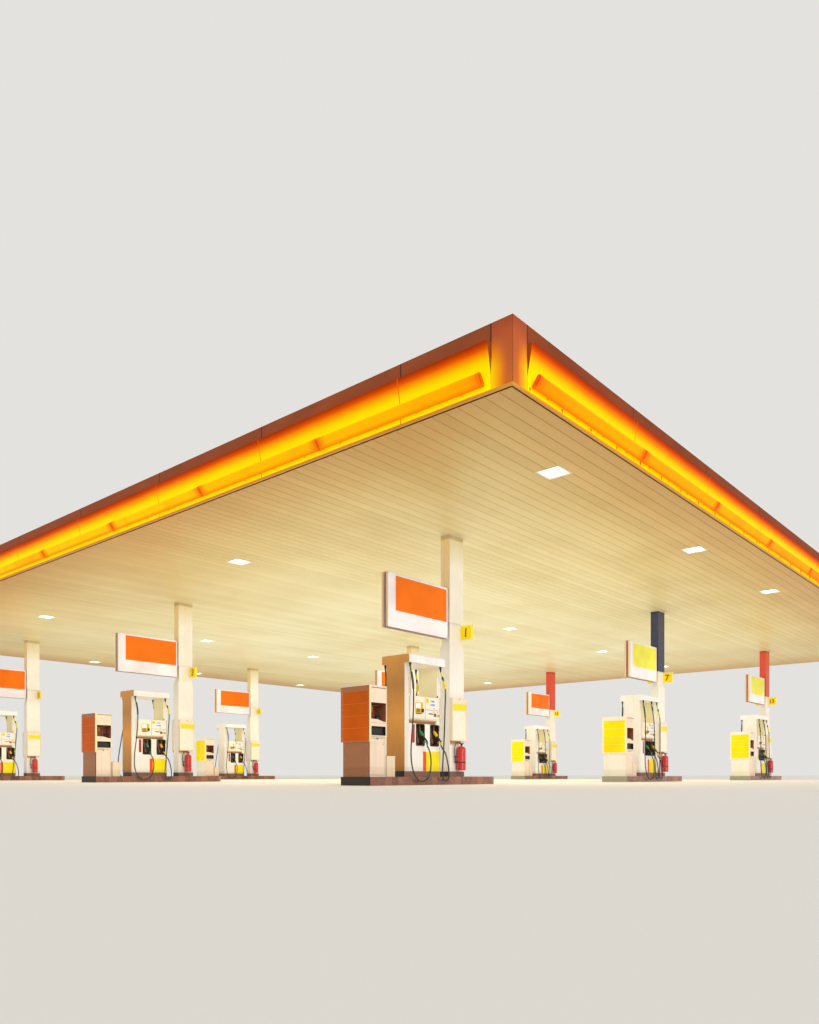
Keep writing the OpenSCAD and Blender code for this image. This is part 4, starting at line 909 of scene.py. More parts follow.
def make_finishes(scene):
    """Every finish of the canopy, by a short name."""
    soffit, cornice, column, sign, pump = (
        scene.canopy_soffit, scene.canopy_cornice, scene.canopy_columns, scene.canopy_signs, scene.canopy_dispensers)
    green, yellow = hex_of(pump.green), hex_of(pump.yellow)
    body, pumps = hex_of(pump.body), dispenser_zones(hex_of(pump.end))
    tail = {"z": (0.6, 0.8835)}
    FINISHES.update({
        "beam": powder_coat("painted_steel_beam", "#5A5D62", 0.5),
        "zinc": zinc("galvanised_steel"),
        "roof": roof_coat("coil_coated_roof_sheet"),
        "boards": ceiling_enamel("ceiling_enamel_on_aluminium_strip", hex_of(soffit.colour), soffit.board),
        # Painted shade: the plate seen through the open joints of the ceiling boards is dark brown.
        "gap": film("brown_felt_behind_joints", "#8A7040", 0.8),
        "trim": powder_coat("tan_powder_coat_trim", "#DFB264", 0.4, lip=0.028),
        "collar": powder_coat("cream_powder_coat_collar", "#F2EED6", 0.4),
        "lamp": lamp_opal("opal_glass_lit"),
        "lamp_frame": powder_coat("white_lamp_frame", "#F4F1E6", 0.35, 0.2),
        "band": cornice_paint("brick_brown_cornice_paint", hex_of(cornice.band), cornice.glow),
        "cove": cove_acrylic("backlit_cove_acrylic", cornice.glow),
        "bar": bar_acrylic("orange_bar_acrylic", cornice.glow),
        "bracket": film("orange_capped_bracket", "#E4641C", 0.4),
        "rivet": film("cream_capped_rivet", "#FFF2B0", 0.3),
        "flashing": zinc("zinc_flashing", "#9DA1A4", 0.5),
        "column": powder_coat("white_column_powder_coat", hex_of(column.white), 0.42, 0.18, [
            # Painted light: a tan tint up towards the lit soffit, stronger on the faces that look along -X.
            ([(4.6, hex_of(column.white)), (5.35, "#DCCB98")], {"z": (4.6, 5.5)}),
            ([(3.5, hex_of(column.white)), (4.2, "#E8D0A0"), (5.35, "#DDBE84")],
             {"face": (-1.5, -0.6), "z": (3.5, 5.5)})]),
        "indigo": powder_coat("indigo_powder_coat", hex_of(column.indigo), 0.38, 0.15),
        "red": powder_coat("red_powder_coat", hex_of(column.red), 0.38, 0.15),
        "skirting": powder_coat("plum_skirting_powder_coat", "#8A6656", 0.4, 0.3, [
            # Painted shade on the first row's ends that look along -X.
            ("#33241C", {**FIRST_ROW_PAINTED_LIGHT, "z": (0.0, 0.4)})]),
        "case": powder_coat("cream_case_powder_coat", "#F1E4CA", 0.4, 0.2, [
            ("#C08048", {"x": (-0.3, 0.3), "z": (0.87, 0.9399)})]),
        "utility": powder_coat("warm_utility_box_powder_coat", "#EBD5B8", 0.42, 0.3),
        "sign_case": sheet_acrylic("opal_sign_acrylic", "#EEE8ED", 0.06, None, [
            # Painted shade on the ends of the sign box: tan on the end that looks along -X, darker down the reveal in
            # its middle, and brown on the end by the column.
            ("#DDBD94", {"x": (-2.17, -2.1585), "z": (3.14, 4.22)}), ("#A87E62", {"x": (-0.2615, -0.25)}),
            ("#744630", {"x": (-2.17, -2.1585), "off": (-0.01, 0.03), "z": (3.14, 4.22)})]),
        "sign_edge": powder_coat("umber_sign_edge_powder_coat", "#8E6048", 0.4, 0.2),
        "service": powder_coat("service_unit_powder_coat", "#F3EBDD", 0.42, 0.25, SERVICE_ZONES),
        "door": powder_coat("bin_door_powder_coat", "#EED8C2", 0.42, 0.3),
        "dispenser": powder_coat("dispenser_powder_coat", body, 0.4, 0.25, pumps),
        "module": powder_coat("cream_display_powder_coat", "#F0E5CE", 0.42, 0.15),
        "bezel": powder_coat("pale_bezel_powder_coat", "#F7F0E2", 0.4, 0.1),
        "sign_orange": sheet_acrylic("orange_sign_acrylic", hex_of(sign.orange)),
        "sign_yellow": sheet_acrylic("yellow_sign_acrylic", hex_of(sign.yellow)),
        "end_orange": sheet_acrylic("burnt_orange_panel_acrylic", "#C65804", 0.05, "#EA8C2E"),
        "end_yellow": sheet_acrylic("yellow_panel_acrylic", "#F0D808", 0.05, "#F8EEA0"),
        "flag": sheet_acrylic("yellow_flag_acrylic", "#F0DC0C"),
        "numeral": film("dark_red_vinyl_numeral", "#B5331E"),
        "extinguisher": enamel("red_gloss_enamel", "#C41E14"),
        "black": moulded("black_moulded_plastic", "#262220", 0.42),
        "black_gloss": moulded("black_polished_plastic", "#1E1A18", 0.25),
        "boot": moulded("brown_moulded_boot", "#4A3028", 0.45),
        # Lighter than the boots: a painted highlight.
        "tongue": moulded("brown_moulded_tongue", "#8A5C48", 0.4),
        "nozzle_green": moulded("cast_nozzle_with_green_tail", "#262220", 0.4, [(green, tail)]),
        "nozzle_yellow": moulded("cast_nozzle_with_yellow_tail", "#262220", 0.4, [(yellow, tail)]),
        "nozzle_black": moulded("cast_black_nozzle", "#262220", 0.4),
        "green": moulded("green_nozzle_cover", green, 0.38),
        "green_dark": moulded("dark_green_hose_sleeve", "#2E4A34", 0.4),
        "yellow": moulded("yellow_nozzle_cover", yellow, 0.38),
        "sleeve": moulded("lemon_hose_sleeve", "#F8E81C", 0.38),
        "terminal": moulded("yellow_terminal_surround", "#F2C414", 0.38),
        "steel": brushed("brushed_stainless_steel"),
        "rubber": hose_rubber("black_hose_rubber", hex_of(scene.canopy_hoses.rubber)),
        "deck": concrete("floated_concrete"),
        "tile": kerb_glaze("plum_glazed_kerb_tile", hex_of(scene.canopy_islands.colour)),
        "cover_dark": powder_coat("black_end_cover_powder_coat", "#2C2010", 0.5, 0.2),
        "cover_grey": powder_coat("grey_end_cover_powder_coat", "#A8A48C", 0.5, 0.3),
        "grout": grout("cement_grout", "#B89070"),
        "film_yellow": film("yellow_vinyl_film", "#F4DE08"),
        "film_red": film("red_vinyl_film", "#E8501E"),
        "film_dark_red": film("dark_red_vinyl_film", "#A8403A"),
        "film_green": film("green_vinyl_film", "#5CA830"),
        "film_orange": film("orange_vinyl_film", "#EE9A18"),
        "poster": film("cream_poster_panel", "#F4E8D6", 0.35),
        "line": powder_coat("tan_joint_powder_coat", "#D8BC92", 0.5),
        "screen": display_glass("white_card_screen", "#EFF4F4", 0.15),
        "window": display_glass("blue_digit_window", "#9CC0F0", 0.15),
        "digit": film("dark_blue_digit", "#3A5A9A"),
        "brown": powder_coat("brown_powder_coat", "#8A5A38", 0.45),
        "seam": film("dark_brown_seam", "#5A4030", 0.6),
        "joint": film("dark_cornice_joint", "#4E2C20", 0.7),
    })


NODE_FINISH = {
    "main_beams": "beam", "purlins": "zinc", "roof_sheets": "roof", "gutters": "zinc", "fascia_frame": "zinc",
    "soffit_carriers": "zinc", "soffit_boards": "gap", "soffit_trim": "trim", "lamp_housings": "zinc",
    "lamp_lenses": "lamp", "fascia_bands": "band", "cove_panels": "cove", "light_bars": "bar",
    "corner_posts": "band", "columns": "column", "column_casings": "column", "column_covers_white": "column",
    "column_cover_indigo": "indigo", "column_covers_red": "red", "column_skirtings": "skirting",
    "poster_cases": "case", "extinguishers": "extinguisher", "extinguisher_valves": "black",
    "island_kerbs": "grout", "island_decks": "deck", "sign_cases": "sign_case", "sign_panels_orange": "sign_orange",
    "sign_panels_yellow": "sign_yellow", "sign_arms": "zinc", "number_flags": "flag",
    "service_cabinets": "service", "service_panels_orange": "end_orange", "service_panels_yellow": "end_yellow",
    "utility_boxes": "utility", "dispenser_plinths": "skirting", "dispenser_cabinets": "dispenser",
    "dispenser_posts": "dispenser", "dispenser_heads": "dispenser", "display_modules": "module",
    "nozzle_boots": "boot", "nozzles_green": "nozzle_green", "nozzles_yellow": "nozzle_yellow",
    "nozzles_black": "nozzle_black", "hose_swivels": "black", "hoses_green": "rubber", "hoses_yellow": "rubber",
    "hoses_black": "rubber",
}


# Operators


class CANOPY_OT_stage(bpy.types.Operator):
    """Camera at the photograph's place, plain pale floor and soft light"""
    bl_idname = "canopy.stage"
    bl_label = "Stage"

    def execute(self, context):
        scene, choice = context.scene, context.scene.canopy_stage
        scene.view_settings.view_transform = "Standard"
        camera = bpy.data.objects.new("camera", bpy.data.cameras.new("camera"))
        scene.collection.objects.link(camera)
        camera.location = CAMERA
        camera.rotation_euler = (math.radians(90), 0, math.radians(CAMERA_TURN))
        camera.data.lens = CAMERA_LENS
        camera.data.shift_y = CAMERA_SHIFT
        camera.data.clip_end = 1000
        scene.camera = camera

        mesh = bpy.data.meshes.new("floor")
        half = 400
        mesh.from_pydata([(-half, -half, 0), (half, -half, 0), (half, half, 0), (-half, half, 0)], [],
                         [(0, 1, 2, 3)])
        floor = bpy.data.objects.new("floor", mesh)
        scene.collection.objects.link(floor)
        mesh.materials.append(
            begin("pale_floor", Roughness=0.9, Specular_IOR_Level=0.1, Base_Color=(*choice.floor, 1))[0])

        world = bpy.data.worlds.new("studio")
        world.use_nodes = True
        tree = world.node_tree
        tree.nodes.clear()
        lit = add(tree, "ShaderNodeBackground", inputs={"Color": (1, 0.99, 0.97, 1), "Strength": choice.world})
        seen = add(tree, "ShaderNodeBackground", inputs={"Color": "#E4E2DE", "Strength": 1.0})
        ray = add(tree, "ShaderNodeLightPath").outputs["Is Camera Ray"]
        both = add(tree, "ShaderNodeMixShader", inputs={0: ray, 1: lit.outputs[0], 2: seen.outputs[0]})
        add(tree, "ShaderNodeOutputWorld", inputs={"Surface": both.outputs[0]})
        scene.world = world

        def hang(light, turn):
            """Puts a light in the scene, turned by so many degrees."""
            held = bpy.data.objects.new(light.name, light)
            scene.collection.objects.link(held)
            held.rotation_euler = [math.radians(a) for a in turn]
            return held

        def area(name, size, place, turn, brightness, colour):
            """An even light of a size, that isn't seen itself."""
            light = bpy.data.lights.new(name, "AREA")
            light.shape = "RECTANGLE"
            light.size, light.size_y = size
            light.energy = brightness * math.pi * size[0] * size[1]
            light.color = colour
            held = hang(light, turn)
            held.location = place
            held.visible_camera = False
            held.visible_glossy = False

        area("ceiling_light", (28, 27), (0, 0, 5.3), (0, 0, 0), choice.ceiling, (1, 0.99, 0.95))
        area("floor_light", (30, 29), (0, 0, 0.35), (180, 0, 0), 0.28, (1, 0.98, 0.9))
        for name, energy, turn in (("key", 0.6, (58, 0, -30)), ("fill", 0.75, (77, 0, -14))):
            sun = bpy.data.lights.new(name, "SUN")
            sun.energy = energy
            sun.angle = math.radians(28)
            hang(sun, turn)
        return {"FINISHED"}


class CANOPY_OT_finishes(bpy.types.Operator):
    """Gives every CAD node its finish"""
    bl_idname = "canopy.finishes"
    bl_label = "Finishes"

    def execute(self, context):
        make_finishes(context.scene)
        finish_of = {**NODE_FINISH, **{n: "door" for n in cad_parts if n.startswith("bin_door_")}}
        for name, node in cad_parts.items():
            node.data.materials.clear()
            node.data.materials.append(FINISHES[finish_of[name]])
        return {"FINISHED"}


class CANOPY_OT_hoses(bpy.types.Operator):
    """Black rubber hoses with their couplings, from the swivels down to the nozzles"""
    bl_idname = "canopy.hoses"
    bl_label = "Hoses"

    def execute(self, context):
        count = 0
        for colour, route, islands in (("green", GREEN_ROUTE, ISLANDS), ("yellow", YELLOW_ROUTE, ISLANDS),
                                       ("black", BLACK_ROUTE, THREE_HOSES)):
            for x, y, i, j in islands:
                for face in (1, -1):
                    points = [Vector((x + DISPENSER_X + p[0] / 1000, y + face * p[1] / 1000, p[2] / 1000))
                              for p in route]
                    number = 1 + 2 * j + 6 * i + (face < 0)
                    count += 1
                    self.hose(context, f"hose_{colour}_{number}", colour, points, count <= MOST_CORDS)
        return {"FINISHED"}

    def hose(self, context, name, colour, points, declared):
        """One hose on its smooth curve, with the couplings that sit on it."""
        diameter = context.scene.canopy_hoses.diameter
        line = bpy.data.curves.new(name, "CURVE")
        line.dimensions = "3D"
        line.bevel_depth = diameter / 2
        line.bevel_resolution = 3
        line.resolution_u = 8
        line.use_fill_caps = True
        spline = line.splines.new("BEZIER")
        spline.bezier_points.add(len(points) - 1)
        for k, (knot, p) in enumerate(zip(spline.bezier_points, points)):
            before, after = points[max(k - 1, 0)], points[min(k + 1, len(points) - 1)]
            along = (after - before).normalized()
            if k in (0, len(points) - 1):
                along = Vector((0, 0, -1 if k == 0 else 1))
            knot.co = p
            knot.handle_left_type = knot.handle_right_type = "FREE"
            knot.handle_left = p - along * (p - before).length / 3
            knot.handle_right = p + along * (after - p).length / 3
        line.materials.append(FINISHES["rubber"])
        hose = bpy.data.objects.new(name, line)
        context.scene.collection.objects.link(hose)
        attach(hose, "root")
        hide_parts(f"hoses_{colour}")
        way = []
        for a, b in list(zip(spline.bezier_points, spline.bezier_points[1:]))[:4]:
            way += interpolate_bezier(a.co, a.handle_right, b.handle_left, b.co, 9)
        for finish, parts in COUPLINGS[colour]:
            bm = bmesh.new()
            for high, low, r in parts:
                centre = self.stretch(way, high, low)
                tube(bm, centre, [r * (0.86 if k in (0, len(centre) - 1) else 1) for k in range(len(centre))], 12)
            piece = f"{name}_coupling_{finish}"
            single(piece, bm, finish, smooth=True)

    def stretch(self, way, high, low):
        """The part of a way that runs down between two heights, with a point close to each of its ends."""
        part = [p for p in way if low + 0.005 < p.z < high - 0.005]
        for level in (high, high - 0.004, low + 0.004, low):
            a, b = next((a, b) for a, b in zip(way, way[1:]) if a.z > level >= b.z)
            part.append(a.lerp(b, (a.z - level) / (a.z - b.z)))
        return sorted(part, key=lambda p: -p.z)


class CANOPY_OT_soffit(bpy.types.Operator):
    """Ceiling boards with their joints, lamp frames and column collars"""
    bl_idname = "canopy.soffit"
    bl_label = "Soffit"

    def execute(self, context):
        choice = context.scene.canopy_soffit
        x_end, y_end = 15.448, 15.048
        n = round(2 * FIRST_BOARD / choice.board)
        seams = [-y_end] + [-FIRST_BOARD + k * 2 * FIRST_BOARD / n for k in range(n + 1)] + [y_end]
        holes = [(x - 0.19, y - 0.19, x + 0.19, y + 0.19) for x, y in LAMPS]
        holes += [(x - 0.242, y - 0.128, x + 0.242, y + 0.128) for x, y, *_ in ISLANDS]
        bm = bmesh.new()
        for a, b in zip(seams, seams[1:]):
            low, high = a + choice.joint / 2, b - choice.joint / 2
            section = [(low, 0.0), (low + 0.003, -0.006), (low + 0.02, -0.0078), (high - 0.012, -0.0088),
                       (high - 0.003, -0.006), (high, 0.0)]
            crossing = [h for h in holes if h[1] < high and h[3] > low]
            ys = sorted({y for y, _ in section} | {y for h in crossing for y in (h[1], h[3]) if low < y < high})
            xs = sorted({-x_end, x_end} | {x for h in crossing for x in (h[0], h[2])})
            grid = [[bm.verts.new((x, y, SOFFIT_Z + self.depth(section, y) - 0.0005)) for x in xs] for y in ys]
            for r in range(len(ys) - 1):
                for c in range(len(xs) - 1):
                    px, py = (xs[c] + xs[c + 1]) / 2, (ys[r] + ys[r + 1]) / 2
                    if not any(h[0] < px < h[2] and h[1] < py < h[3] for h in crossing):
                        bm.faces.new((grid[r][c], grid[r + 1][c], grid[r + 1][c + 1], grid[r][c + 1]))
        bmesh.ops.delete(bm, geom=[v for v in bm.verts if not v.link_faces], context="VERTS")
        single("ceiling_boards", bm, "boards")

        bm = bmesh.new()
        low, high = SOFFIT_Z - 0.016, SOFFIT_Z - 0.006
        self.frame(bm, 0.235, 0.235, 0.188, 0.188, low, high)
        copies("lamp_frames", bm, [(x, y, 0, 0) for x, y in LAMPS], "lamp_frame")
        bm = bmesh.new()
        screws_at(bm, (-0.2115, 0.2115), (-0.2115, 0.2115), (low,), (0, 0, -1), 0.007)
        copies("lamp_screws", bm, [(x, y, 0, 0) for x, y in LAMPS], "steel")
        bm = bmesh.new()
        self.frame(bm, 0.268, 0.154, 0.238, 0.124, low - 0.002, high)
        copies("column_collars", bm, island_places(), "collar")
        return {"FINISHED"}

    def depth(self, section, y):
        """How far the section of a board lies below the soffit at y."""
        for (y0, d0), (y1, d1) in zip(section, section[1:]):
            if y0 <= y <= y1:
                return d0 + (d1 - d0) * (y - y0) / (y1 - y0)
        return 0.0

    def frame(self, bm, x1, y1, x0, y0, low, high):
        """Four flat strips round an opening of x0 by y0, out to x1 by y1."""
        for s in (-1, 1):
            slab(bm, (-x1, s * y0, low), (x1, s * y1, high), 0.002)
            slab(bm, (s * x0, -y0, low), (s * x1, y0, high), 0.002)


class CANOPY_OT_cornice(bpy.types.Operator):
    """Rivets along the lower edge of the cornice, flashings behind it and the ridge cap of the roof"""
    bl_idname = "canopy.cornice"
    bl_label = "Cornice"

    def execute(self, context):
        x, y, z = ROOF_X / 2, ROOF_Y / 2, CORNICE_Z + 0.016
        start = POST + 0.06
        long_sides = [[(-x + start, -y, z), (x - start, -y, z)], [(x - start, y, z), (-x + start, y, z)]]
        short_sides = [[(x, -y + start, z), (x, y - start, z)], [(-x, y - start, z), (-x, -y + start, z)]]
        bm = bmesh.new()
        rod(bm, (0, 0.001, 0), (0, -0.006, 0), 0.011, 6, 0.006)
        row("edge_rivets", bm, short_sides, context.scene.canopy_cornice.rivet_pitch, "rivet")
        bm = bmesh.new()
        slab(bm, (-0.012, -0.012, 0.022), (0.012, 0.001, 0.05), 0.003)
        slab(bm, (-0.004, -0.012, -0.006), (0.004, 0.001, 0.03), 0.001)
        row("bar_brackets", bm, long_sides, context.scene.canopy_cornice.bracket_pitch, "bracket")

        bm = bmesh.new()
        low, high = CORNICE_Z + BAND_Z + 0.002, CORNICE_TOP - 0.001
        for joints, face, order in ((LONG_JOINTS, y, 1), (SHORT_JOINTS, x, -1)):
            for along in joints:
                for s in (-1, 1):
                    a, b = (along - 0.011, s * (face - 0.001)), (along + 0.011, s * (face + 0.0012))
                    slab(bm, (*a[::order], low), (*b[::order], high), 0)
        single("band_joints", bm, "joint")

        bm = bmesh.new()
        inner, outer, low, high = 0.11, 0.031, 6.297, 6.3
        for s in (-1, 1):
            for at, half, axis in ((y, x - outer, 1), (x, y - outer, 0)):
                lip = s * (at - inner)
                sheet = [(s * (at - outer), low), (s * (at - outer), high), (lip - s * 0.003, high),
                         (lip - s * 0.003, 6.26), (lip, 6.26), (lip, low)]
                prism(bm, sheet, -half, half, 1 - axis)
        single("cornice_flashings", bm, "flashing")

        bm = bmesh.new()
        z = ROOF_RIDGE_Z
        prism(bm, [(-0.26, z - 0.002), (-0.25, z - 0.001), (0, z + 0.0012), (0.25, z - 0.001), (0.26, z - 0.002),
                   (0.26, z + 0.001), (0.25, z + 0.003), (0, z + 0.006), (-0.25, z + 0.003), (-0.26, z + 0.001)],
              -14.97, 14.97)
        for k in range(30):
            for s in (-1, 1):
                screw(bm, (s * 0.225, -14.5 + k, z + 0.002), (0, 0, 1), 0.009)
        single("ridge_cap", bm, "flashing")
        return {"FINISHED"}


class CANOPY_OT_columns(bpy.types.Operator):
    """Joint strips and screws of the column casings, and the poster on each side"""
    bl_idname = "canopy.columns"
    bl_label = "Columns"

    def execute(self, context):
        pitch = context.scene.canopy_columns.screw_pitch
        bm = bmesh.new()
        for s in (-1, 1):
            slab(bm, (s * CASING_X, -0.008, 0.285), (s * 0.2525, 0.008, 2.945), 0.001)
        copies("casing_strips", bm, island_places(), "column")
        for name, finish, slot, islands in (("white", "column", "column_white", WHITE),
                                            ("indigo", "indigo", "column_indigo", INDIGO),
                                            ("red", "red", "column_red", RED)):
            bm = bmesh.new()
            for s in (-1, 1):
                slab(bm, (s * COVER_X, -0.008, 3.495), (s * 0.2395, 0.008, 5.38), 0.0006)
            copies(f"cover_strips_{name}", bm, island_places(islands), finish)

        def screws(bm):
            for edge, side, low, high in ((0.235, 0.132, 0.36, 0.85), (0.235, 0.132, 1.95, 2.9),
                                          (0.222, 0.124, 3.56, 5.3)):
                for z in steps_between(low, high, pitch):
                    for s in (-1, 1):
                        screw(bm, (s * edge, -side, z), (0, -1, 0), 0.0065)
            for x, y, low, high in ((CASING_X, -0.105, 0.36, 2.9), (COVER_X, -0.1, 3.56, 5.3)):
                for z in steps_between(low, high, pitch):
                    for s in (-1, 1):
                        screw(bm, (s * x, y, z), (s, 0, 0), 0.0065)

        both_faces("column_screws", screws, island_places(), "steel")
        both_faces("poster_stripes", lambda bm: plate(bm, (-0.2325, 1.6035), (0.2325, 1.7315), CASE_Y, 0.0012, 0.002),
                   island_places(), "film_yellow")
        both_faces("poster_panels", lambda bm: plate(bm, (-0.226, 0.969), (0.226, 1.586), CASE_Y, 0.0015, 0.004),
                   island_places(), "poster")

        def frames(bm):
            hoop(bm, (-0.233, 0.962), (0.233, 1.593), 0.009, CASE_Y, 0.006, 0.006)
            hoop(bm, (-0.257, 0.938), (0.257, 1.862), 0.012, -0.212, 0.003, 0.01)
            screws_at(bm, (-0.236, 0.236), (CASE_RIM_Y,), (0.952, 1.28, 1.598, 1.80), (0, -1, 0), 0.0055)

        both_faces("poster_frames", frames, island_places(), "case")

        def lock(bm):
            plate(bm, (-0.012, 1.832), (0.012, 1.852), CASE_RIM_Y, 0.004, 0.009)
            rod(bm, (0, -0.2165, 1.842), (0, -0.22, 1.842), 0.005, 10)
            plate(bm, (-0.14, 0.9), (-0.1, 0.914), -0.19, 0.003, 0.004)

        both_faces("poster_locks", lock, island_places(), "black")
        return {"FINISHED"}


class CANOPY_OT_extinguishers(bpy.types.Operator):
    """Strap, hose, horn and gauge of each fire extinguisher"""
    bl_idname = "canopy.extinguishers"
    bl_label = "Extinguishers"

    def execute(self, context):
        def fittings(bm):
            strap = [(0.010 + 0.1 * math.cos(a), -0.244 + 0.1 * math.sin(a)) for a in round_angles(28)]
            prism(bm, strap, 0.466, 0.482, 2)
            slab(bm, (-0.012, -0.349, 0.462), (0.032, -0.342, 0.486), 0.003)
            line = [(0.003, -0.25, 0.876), (-0.03, -0.24, 0.9), (-0.07, -0.222, 0.905), (-0.108, -0.2, 0.885),
                    (-0.13, -0.18, 0.83), (-0.138, -0.17, 0.75), (-0.135, -0.168, 0.67), (-0.126, -0.17, 0.6),
                    (-0.116, -0.176, 0.55)]
            tube(bm, line, 0.0085, 10)
            tube(bm, [(-0.117, -0.176, 0.56), (-0.114, -0.178, 0.54), (-0.11, -0.18, 0.5), (-0.107, -0.182, 0.465)],
                 [0.010, 0.0125, 0.0145, 0.02], 12)
            slab(bm, (-0.128, -0.19, 0.592), (-0.075, -0.165, 0.612), 0.003)
            rod(bm, (0.010, -0.262, 0.856), (0.010, -0.282, 0.856), 0.014, 16)

        both_faces("extinguisher_fittings", fittings, island_places(), "black", True)

        def bright(bm):
            rod(bm, (0.010, -0.282, 0.856), (0.010, -0.2835, 0.856), 0.0115, 16)
            tube(bm, [(0.028, -0.27, 0.888), (0.036, -0.27, 0.892), (0.042, -0.27, 0.904), (0.036, -0.27, 0.914),
                      (0.028, -0.27, 0.906)], 0.0018, 6)

        both_faces("extinguisher_gauges", bright, island_places(), "steel")
        return {"FINISHED"}


class CANOPY_OT_islands(bpy.types.Operator):
    """Glazed tiles round the kerb of every island, and the cover on its square end"""
    bl_idname = "canopy.islands"
    bl_label = "Islands"

    def execute(self, context):
        choice = context.scene.canopy_islands
        straight, bend = ISLAND_STRAIGHT - ISLAND_END, ISLAND_R * math.pi / 2
        cross = 2 * (ISLAND_HALF - ISLAND_R)
        length = 2 * straight + 2 * bend + cross
        count = round(length / choice.tile)
        profile = [(0.005, 0.006), (0.005, 0.161), (0.003, 0.167), (-0.002, 0.169), (-0.1, 0.169), (-0.104, 0.166),
                   (-0.104, 0.15), (-0.01, 0.15), (-0.01, 0.006)]

        def edge(s):
            """Point of the outline at a distance from its start, and the way out there."""
            if s <= straight:
                return Vector((ISLAND_END + s, -ISLAND_HALF, 0)), Vector((0, -1, 0))
            if s >= length - straight:
                return Vector((ISLAND_END + length - s, ISLAND_HALF, 0)), Vector((0, 1, 0))
            s -= straight
            if bend <= s <= bend + cross:
                return Vector((ISLAND_STRAIGHT + ISLAND_R, s - bend - cross / 2, 0)), Vector((1, 0, 0))
            a, side = (s / ISLAND_R - math.pi / 2, -1) if s < bend else ((s - bend - cross) / ISLAND_R, 1)
            out = Vector((math.cos(a), math.sin(a), 0))
            return Vector((ISLAND_STRAIGHT, side * cross / 2, 0)) + out * ISLAND_R, out

        bm = bmesh.new()
        tone = bm.faces.layers.float.new("tone")
        pick = random.Random(7)
        for k in range(count):
            a, b = k * length / count + choice.joint / 2, (k + 1) * length / count - choice.joint / 2
            steps = 1 if b < straight or a > length - straight else 4
            loops = []
            for m in range(steps + 1):
                spot, out = edge(a + (b - a) * m / steps)
                loops.append([bm.verts.new(spot + out * o + Vector((0, 0, z))) for o, z in profile])
            faces, own = skin(bm, loops), pick.random()
            for face in faces:
                face[tone] = own
        copies("kerb_tiles", bm, island_places(), "tile")

        for name, finish, islands in (("first", "cover_dark", [e for e in ISLANDS if e[2] == 0]),
                                      ("other", "cover_grey", [e for e in ISLANDS if e[2] > 0])):
            bm = bmesh.new()
            slab(bm, (ISLAND_END - 0.008, -0.394, 0.004), (ISLAND_END + 0.001, 0.394, 0.1685), 0.003)
            screws_at(bm, (ISLAND_END - 0.008,), (-0.35, 0, 0.35), (0.04, 0.13), (-1, 0, 0), 0.008)
            copies(f"end_covers_{name}", bm, island_places(islands), finish)
        return {"FINISHED"}


class CANOPY_OT_signs(bpy.types.Operator):
    """Frames and screws of the sign boxes, and plain numbers on the flags"""
    bl_idname = "canopy.signs"
    bl_label = "Signs"

    def execute(self, context):
        def trims(bm):
            hoop(bm, (-1.951, 3.469), (-0.289, 4.191), 0.014, SIGN_Y, 0.0085, 0.008)
            hoop(bm, (-2.162, 3.138), (-0.258, 4.222), 0.02, SIGN_Y, 0.0035, 0.01)

        both_faces("sign_frames", trims, island_places(), "sign_case")

        def edges(bm):
            for low, high in ((3.1385, 3.1402), (4.2198, 4.2215)):
                slab(bm, (-2.162, -0.0835, low), (-0.258, -0.006, high), 0)
            screws_at(bm, (-2.13, -1.2, -0.29), (-0.0835,), (3.16, 4.2), (0, -1, 0), 0.0075)

        both_faces("sign_edges", edges, island_places(), "sign_edge")

        bm = bmesh.new()
        for x, y, i, j in ISLANDS:
            for side, number in ((-1, 1 + 2 * j + 6 * i), (1, 2 + 2 * j + 6 * i)):
                flat = self.numeral(str(number), context.scene.canopy_signs.numeral)
                for at, across in ((0.1495, -1), (0.2005, 1)):
                    turn = Matrix(((0, 0, across, x + at), (across, 0, 0, y + side * 0.26), (0, 1, 0, 3.3),
                                   (0, 0, 0, 1)))
                    copy = flat.copy()
                    copy.transform(turn)
                    bm.from_mesh(copy)
                    bpy.data.meshes.remove(copy)
                bpy.data.meshes.remove(flat)
        bmesh.ops.recalc_face_normals(bm, faces=bm.faces[:])
        single("flag_numbers", bm, "numeral")

        def rims(bm):
            for at in (0.1485, 0.1995):
                for y0, z0, y1, z1 in ((-0.422, 3.138, -0.408, 3.462), (-0.112, 3.138, -0.098, 3.462),
                                       (-0.408, 3.138, -0.112, 3.15), (-0.408, 3.45, -0.112, 3.462)):
                    slab(bm, (at, y0, z0), (at + 0.002, y1, z1), 0.0006)
            for z in (3.17, 3.41):
                screw(bm, (0.1485, -0.125, z), (-1, 0, 0), 0.006)
                slab(bm, (0.165, -0.102, z), (0.185, -0.092, z + 0.03), 0.002)

        both_faces("flag_rims", rims, island_places(), "sign_case")
        return {"FINISHED"}

    def numeral(self, text, height):
        """A plain number as a thin mesh, centred, with X to the right and Y up."""
        line = bpy.data.curves.new("numeral", "FONT")
        line.body = text
        line.size = height * 1.36 * (0.78 if len(text) > 1 else 1)
        line.shear = 0.06
        line.offset = height * 0.035
        line.extrude = 0.0007
        line.resolution_u = 5
        carrier = bpy.data.objects.new("numeral", line)
        mesh = bpy.data.meshes.new_from_object(carrier)
        bpy.data.objects.remove(carrier)
        bpy.data.curves.remove(line)
        xs, ys = [v.co.x for v in mesh.vertices], [v.co.y for v in mesh.vertices]
        mesh.transform(Matrix.Translation((-(min(xs) + max(xs)) / 2, -(min(ys) + max(ys)) / 2, 0)))
        return mesh


